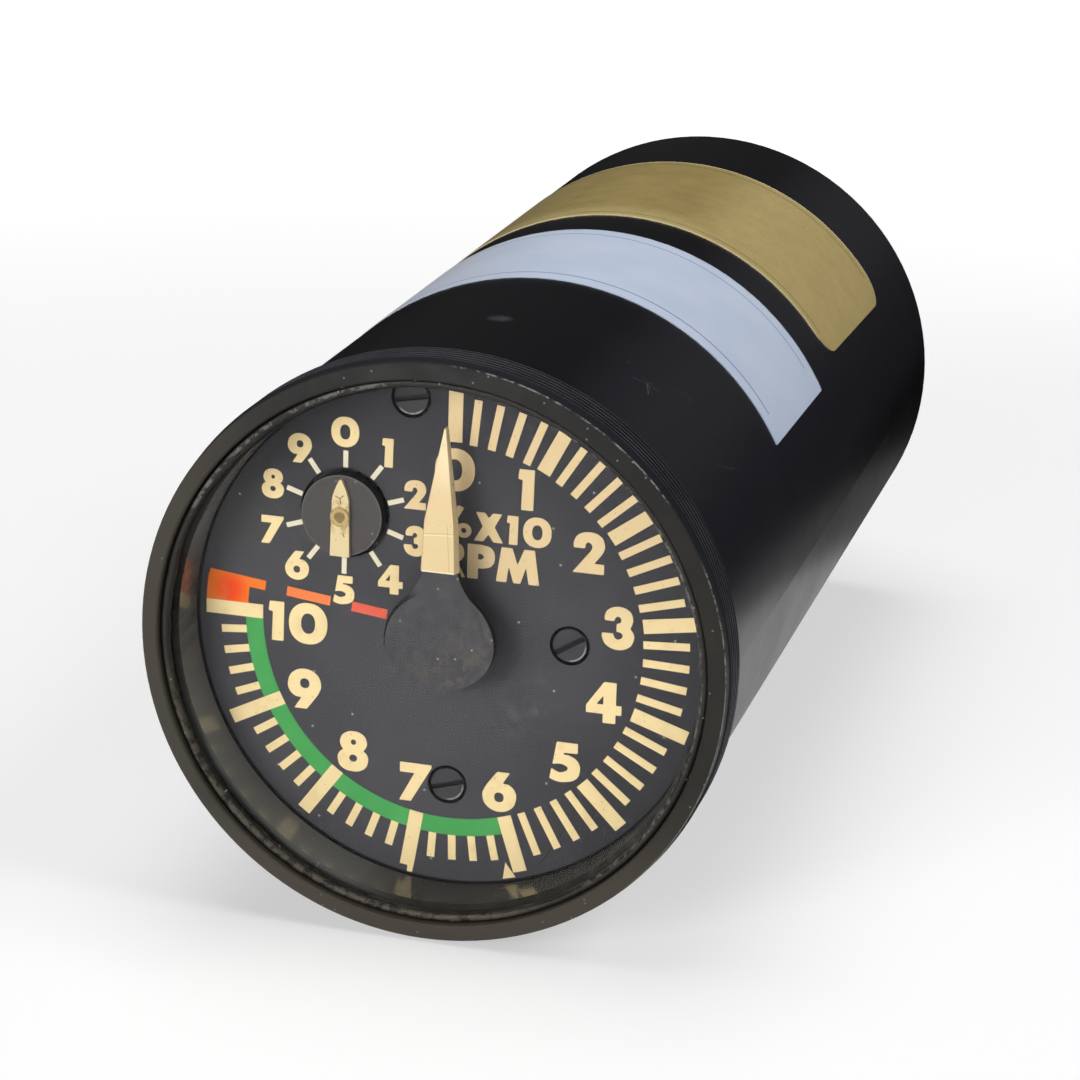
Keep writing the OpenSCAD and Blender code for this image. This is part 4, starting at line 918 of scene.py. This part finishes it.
def bead():
    """A low round profile carried round the bezel's bore. Its inner edge and its height wander by
    sums of sine waves. Its underside rests on the glass and steps down past the glass's edge."""
    a = np.linspace(0, TURN, 900, endpoint=False)[:, None]
    b = np.linspace(0, TURN, 32, endpoint=False)[None, :]
    draw = np.random.default_rng(11)
    wave = lambda turns, size: sum(s * np.sin(k * a + p) for k, s, p in
                                   zip(turns, size, draw.uniform(0, TURN, len(turns))))
    inner = 23.66 + wave((3, 7, 13, 29, 53), (0.05, 0.04, 0.035, 0.025, 0.015))
    crown = 0.66 + wave((2, 5, 11, 23, 41), (0.05, 0.03, 0.03, 0.02, 0.015))
    outer, glass_edge = 24.48, 24.1
    r = (inner + outer) / 2 + (outer - inner) / 2 * np.sign(np.cos(b)) * abs(np.cos(b)) ** 0.9
    up = np.maximum(np.sin(b), 0) ** 0.8
    under = np.where(r < glass_edge, GLASS_FRONT - 0.01, GLASS_FRONT + 0.2)
    y = np.where(np.sin(b) > 0, GLASS_FRONT - 0.01 - crown * up, under)
    return round_axis(r, y, a), True, True


place("sealant_bead", [bead()], "case", finishes["sealant"], "sealant", ("lens_sealant",), 60)


# Labels on the can

def label(front, back, left, right, corner, skew):
    """A thin sheet wrapped on the can, from depth front to back and from the angle left to right.
    Each row's ends draw in near the front and back so that the corners are quarter circles, and
    the rows turn by skew degrees a millimetre, because it is stuck on a little askew."""
    half, lift, sunk = (back - front) / 2, 0.07, 0.02
    v = np.linspace(-1, 1, 60)
    v = np.sin(v * TURN / 4)[:, None] * half
    into = np.maximum(abs(v) - (half - corner), 0)
    draw_in = (corner - np.sqrt(np.maximum(corner**2 - into**2, 0))) / CASE_R
    u = np.linspace(0, 1, 160)[None, :]
    turned = np.radians(skew * (v + half))
    lo, hi = math.radians(left) + draw_in + turned, math.radians(right) - draw_in + turned
    a = lo + (hi - lo) * u
    y = (front + back) / 2 + v
    return slab(round_axis(CASE_R + lift, y, a), round_axis(CASE_R - sunk, y, a))


place("pale_label", [label(**PALE_LABEL)], "case", pale_label(), "cream_paint", (), 40)
place("gold_label", [label(**GOLD_LABEL)], "case", gold_label(), "brass", (), 40)


# Connector

def threaded_barrel():
    """Closed wall of the connector: its outside follows a 24-turns-per-inch thread, whose groove is
    a clipped triangle wave of (depth over pitch minus angle), and fades in and out at the ends."""
    a = np.linspace(0, TURN, 160, endpoint=False)[:, None]
    y = np.linspace(CASE_BACK - 0.2, 116.5, 150)[None, :]
    pitch, depth = INCH / 24, 0.5
    root, mouth, outer_r, bore_r = 99.0, 117.0, 7.94, 6.6
    wave = abs(2 * ((y / pitch - a / TURN) % 1) - 1)
    fade = np.clip((y - 107.0) / 0.8, 0, 1) * np.clip((116.6 - y) / 0.6, 0, 1)
    groove = np.clip(1.5 * wave - 0.25, 0, 1) * fade
    rings = [(8.0, root), (8.0, 104.4), (outer_r, 104.5)]
    ends = [(outer_r - depth, mouth), (bore_r + 0.15, mouth), (bore_r, mouth - 0.15),
            (bore_r, root)]
    ring = lambda r: np.full((len(a), 1), r)
    r = np.concatenate([ring(p[0]) for p in rings] + [outer_r - depth * groove]
                       + [ring(p[0]) for p in ends], 1)
    along = np.concatenate([[p[1] for p in rings], y[0], [p[1] for p in ends]])[None, :]
    return round_axis(r, along, a), True, True


def square_flange():
    """Ring between a round hole and a square with rounded corners: at each angle the outside is the
    nearer of the flat side and the corner's arc, and the section has small bevels."""
    a = np.linspace(0, TURN, 256, endpoint=False)[:, None]
    half, corner = 12.7, 2.5
    mid = half - corner
    c, s = abs(np.sin(a)), abs(np.cos(a))
    side = half / np.maximum(c, s)
    arc = mid * (c + s) + np.sqrt(np.maximum((mid * (c + s)) ** 2 - (2 * mid**2 - corner**2), 0))
    reach = np.where((side * c > mid) & (side * s > mid), arc, side)
    front, back, bevel, hole_r = 104.2, CASE_BACK, 0.3, 7.8
    # Each corner of the section: on the outside or the hole, how far beyond it, and its depth
    section = [(0, 0.0, front), (1, -bevel, front), (1, 0.0, front + bevel),
               (1, 0.0, back - bevel), (1, -bevel, back), (0, 0.0, back)]
    r = np.concatenate([np.where(outer, reach + d, hole_r) for outer, d, _ in section], 1)
    y = np.array([p[2] for p in section])[None, :]
    return round_axis(r, y, a), True, True


def polarising_key():
    """Rib inside the connector's wall, between two arcs of the same width."""
    half_w, front, back, outer_r, inner_r = 0.6, 110.0, 116.0, 6.72, 5.8
    x = np.linspace(-half_w, half_w, 7)[None, :]
    y = np.linspace(front, back, 5)[:, None]
    at = lambda r: np.stack(np.broadcast_arrays(x, y, np.sqrt(r**2 - x**2)), -1)
    return slab(at(outer_r), at(inner_r))


place("threaded_shell", [threaded_barrel(), square_flange(), polarising_key()], "case",
      finishes["connector_olive"], "connector_olive", ("connector_shell",), 28)


# Floor, lamps and camera

def plain_floor():
    """Matt white sheet under the bezel's rim and the can's rear edge. To the camera, and in gloss
    and glass, it adds what brings the lit sheet to white, more of it far away where the lamps fall
    off, and its shadow stays. In gloss the sheet ends about the can's rear, and a dark room
    follows."""
    f = Finish("floor", rgb(202, 202, 202), 0.9, shine=0.0)
    path = f.node("ShaderNodeLightPath")
    seen = f.either(path.outputs["Is Camera Ray"],
                 f.either(path.outputs["Is Glossy Ray"], path.outputs["Is Transmission Ray"]))
    away = f.step(f.distance((0, 40, -26)), 120, 420, 0.48, 0.80)
    sheet_end = 98
    past = f.either(f.step(f.y, sheet_end, 112, 0.0, 0.8), f.step(f.y, sheet_end, 160))
    past = f.times(past, path.outputs["Is Glossy Ray"])
    f.tinted(past, rgb(24, 24, 24))
    f.colour()
    away = f.times(away, f.math("SUBTRACT", 1.0, past))
    glow = f.node("ShaderNodeEmission", Color=(1, 1, 1, 1), Strength=f.times(seen, away))
    f.joined("ShaderNodeAddShader", glow)
    mesh = bpy.data.meshes.new("floor")
    reach, low, fall = 20000.0, -(BEZEL_R + 0.02), (BEZEL_R - CASE_R) / CASE_BACK
    at = lambda x, y: (x * MM, y * MM, (low + fall * y) * MM)
    corners = [at(-reach, -reach), at(reach, -reach), at(reach, reach), at(-reach, reach)]
    mesh.from_pydata(corners, [], [(0, 1, 2, 3)])
    mesh.materials.append(f.mat)
    sheet = in_scene("floor", mesh)


def soft_world():
    """Even dim light from all round."""
    world = bpy.data.worlds.new("studio")
    bpy.context.scene.world = world
    world.use_nodes = True
    shade = world.node_tree.nodes["Background"]
    shade.inputs["Color"].default_value = (1, 1, 1, 1)
    shade.inputs["Strength"].default_value = 0.05


def aimed(name, data, right, up, back, at):
    """A lamp or camera in the scene, from its place and the directions of its own axes."""
    holder = in_scene(name, data)
    rows = [[right[i], up[i], back[i], at[i]] for i in range(3)]
    holder.matrix_world = Matrix(rows + [[0, 0, 0, 1]])
    return holder


def soft_lamp(name, at, size, watts):
    """Square lamp that looks at the middle of the object. Its light reaches the dial through the
    glass's clear film, so rays that pass the glass itself don't meet it a second time."""
    lamp = bpy.data.lights.new(name, "AREA")
    lamp.size, lamp.energy = size, watts
    middle = np.array([0.0, 0.03, 0.0])
    back = unit(np.array(at) - middle)
    right = unit(np.cross((0, 0, 1), back))
    aimed(name, lamp, right, np.cross(back, right), back, at).visible_transmission = False


def photo_camera():
    """Place, direction and lens solved from the dial's marks in the photograph."""
    lens = bpy.data.cameras.new("camera")
    lens.sensor_width, lens.lens, lens.clip_start = 36.0, 113.56, 0.01
    right = (0.96503546, 0.2602005, 0.03165853)
    up = (-0.10822183, 0.28551543, 0.95224418)
    back = (0.23873541, -0.92237554, 0.30369189)
    at = (0.07755, -0.267356, 0.098226)
    bpy.context.scene.camera = aimed("camera", lens, right, up, back, at)


plain_floor()
soft_world()
# Name, place, side of the square in metres, and power
for lamp in [("top", (-0.10, 0.10, 0.85), 0.6, 3.6), ("key", (-0.25, -0.64, 0.20), 0.28, 2.4),
             ("front", (0.05, -0.65, 0.10), 0.25, 0.5), ("fill", (0.55, 0.0, 0.55), 0.4, 2.2)]:
    soft_lamp(*lamp)
photo_camera()
bpy.context.scene.view_settings.view_transform = "Standard"
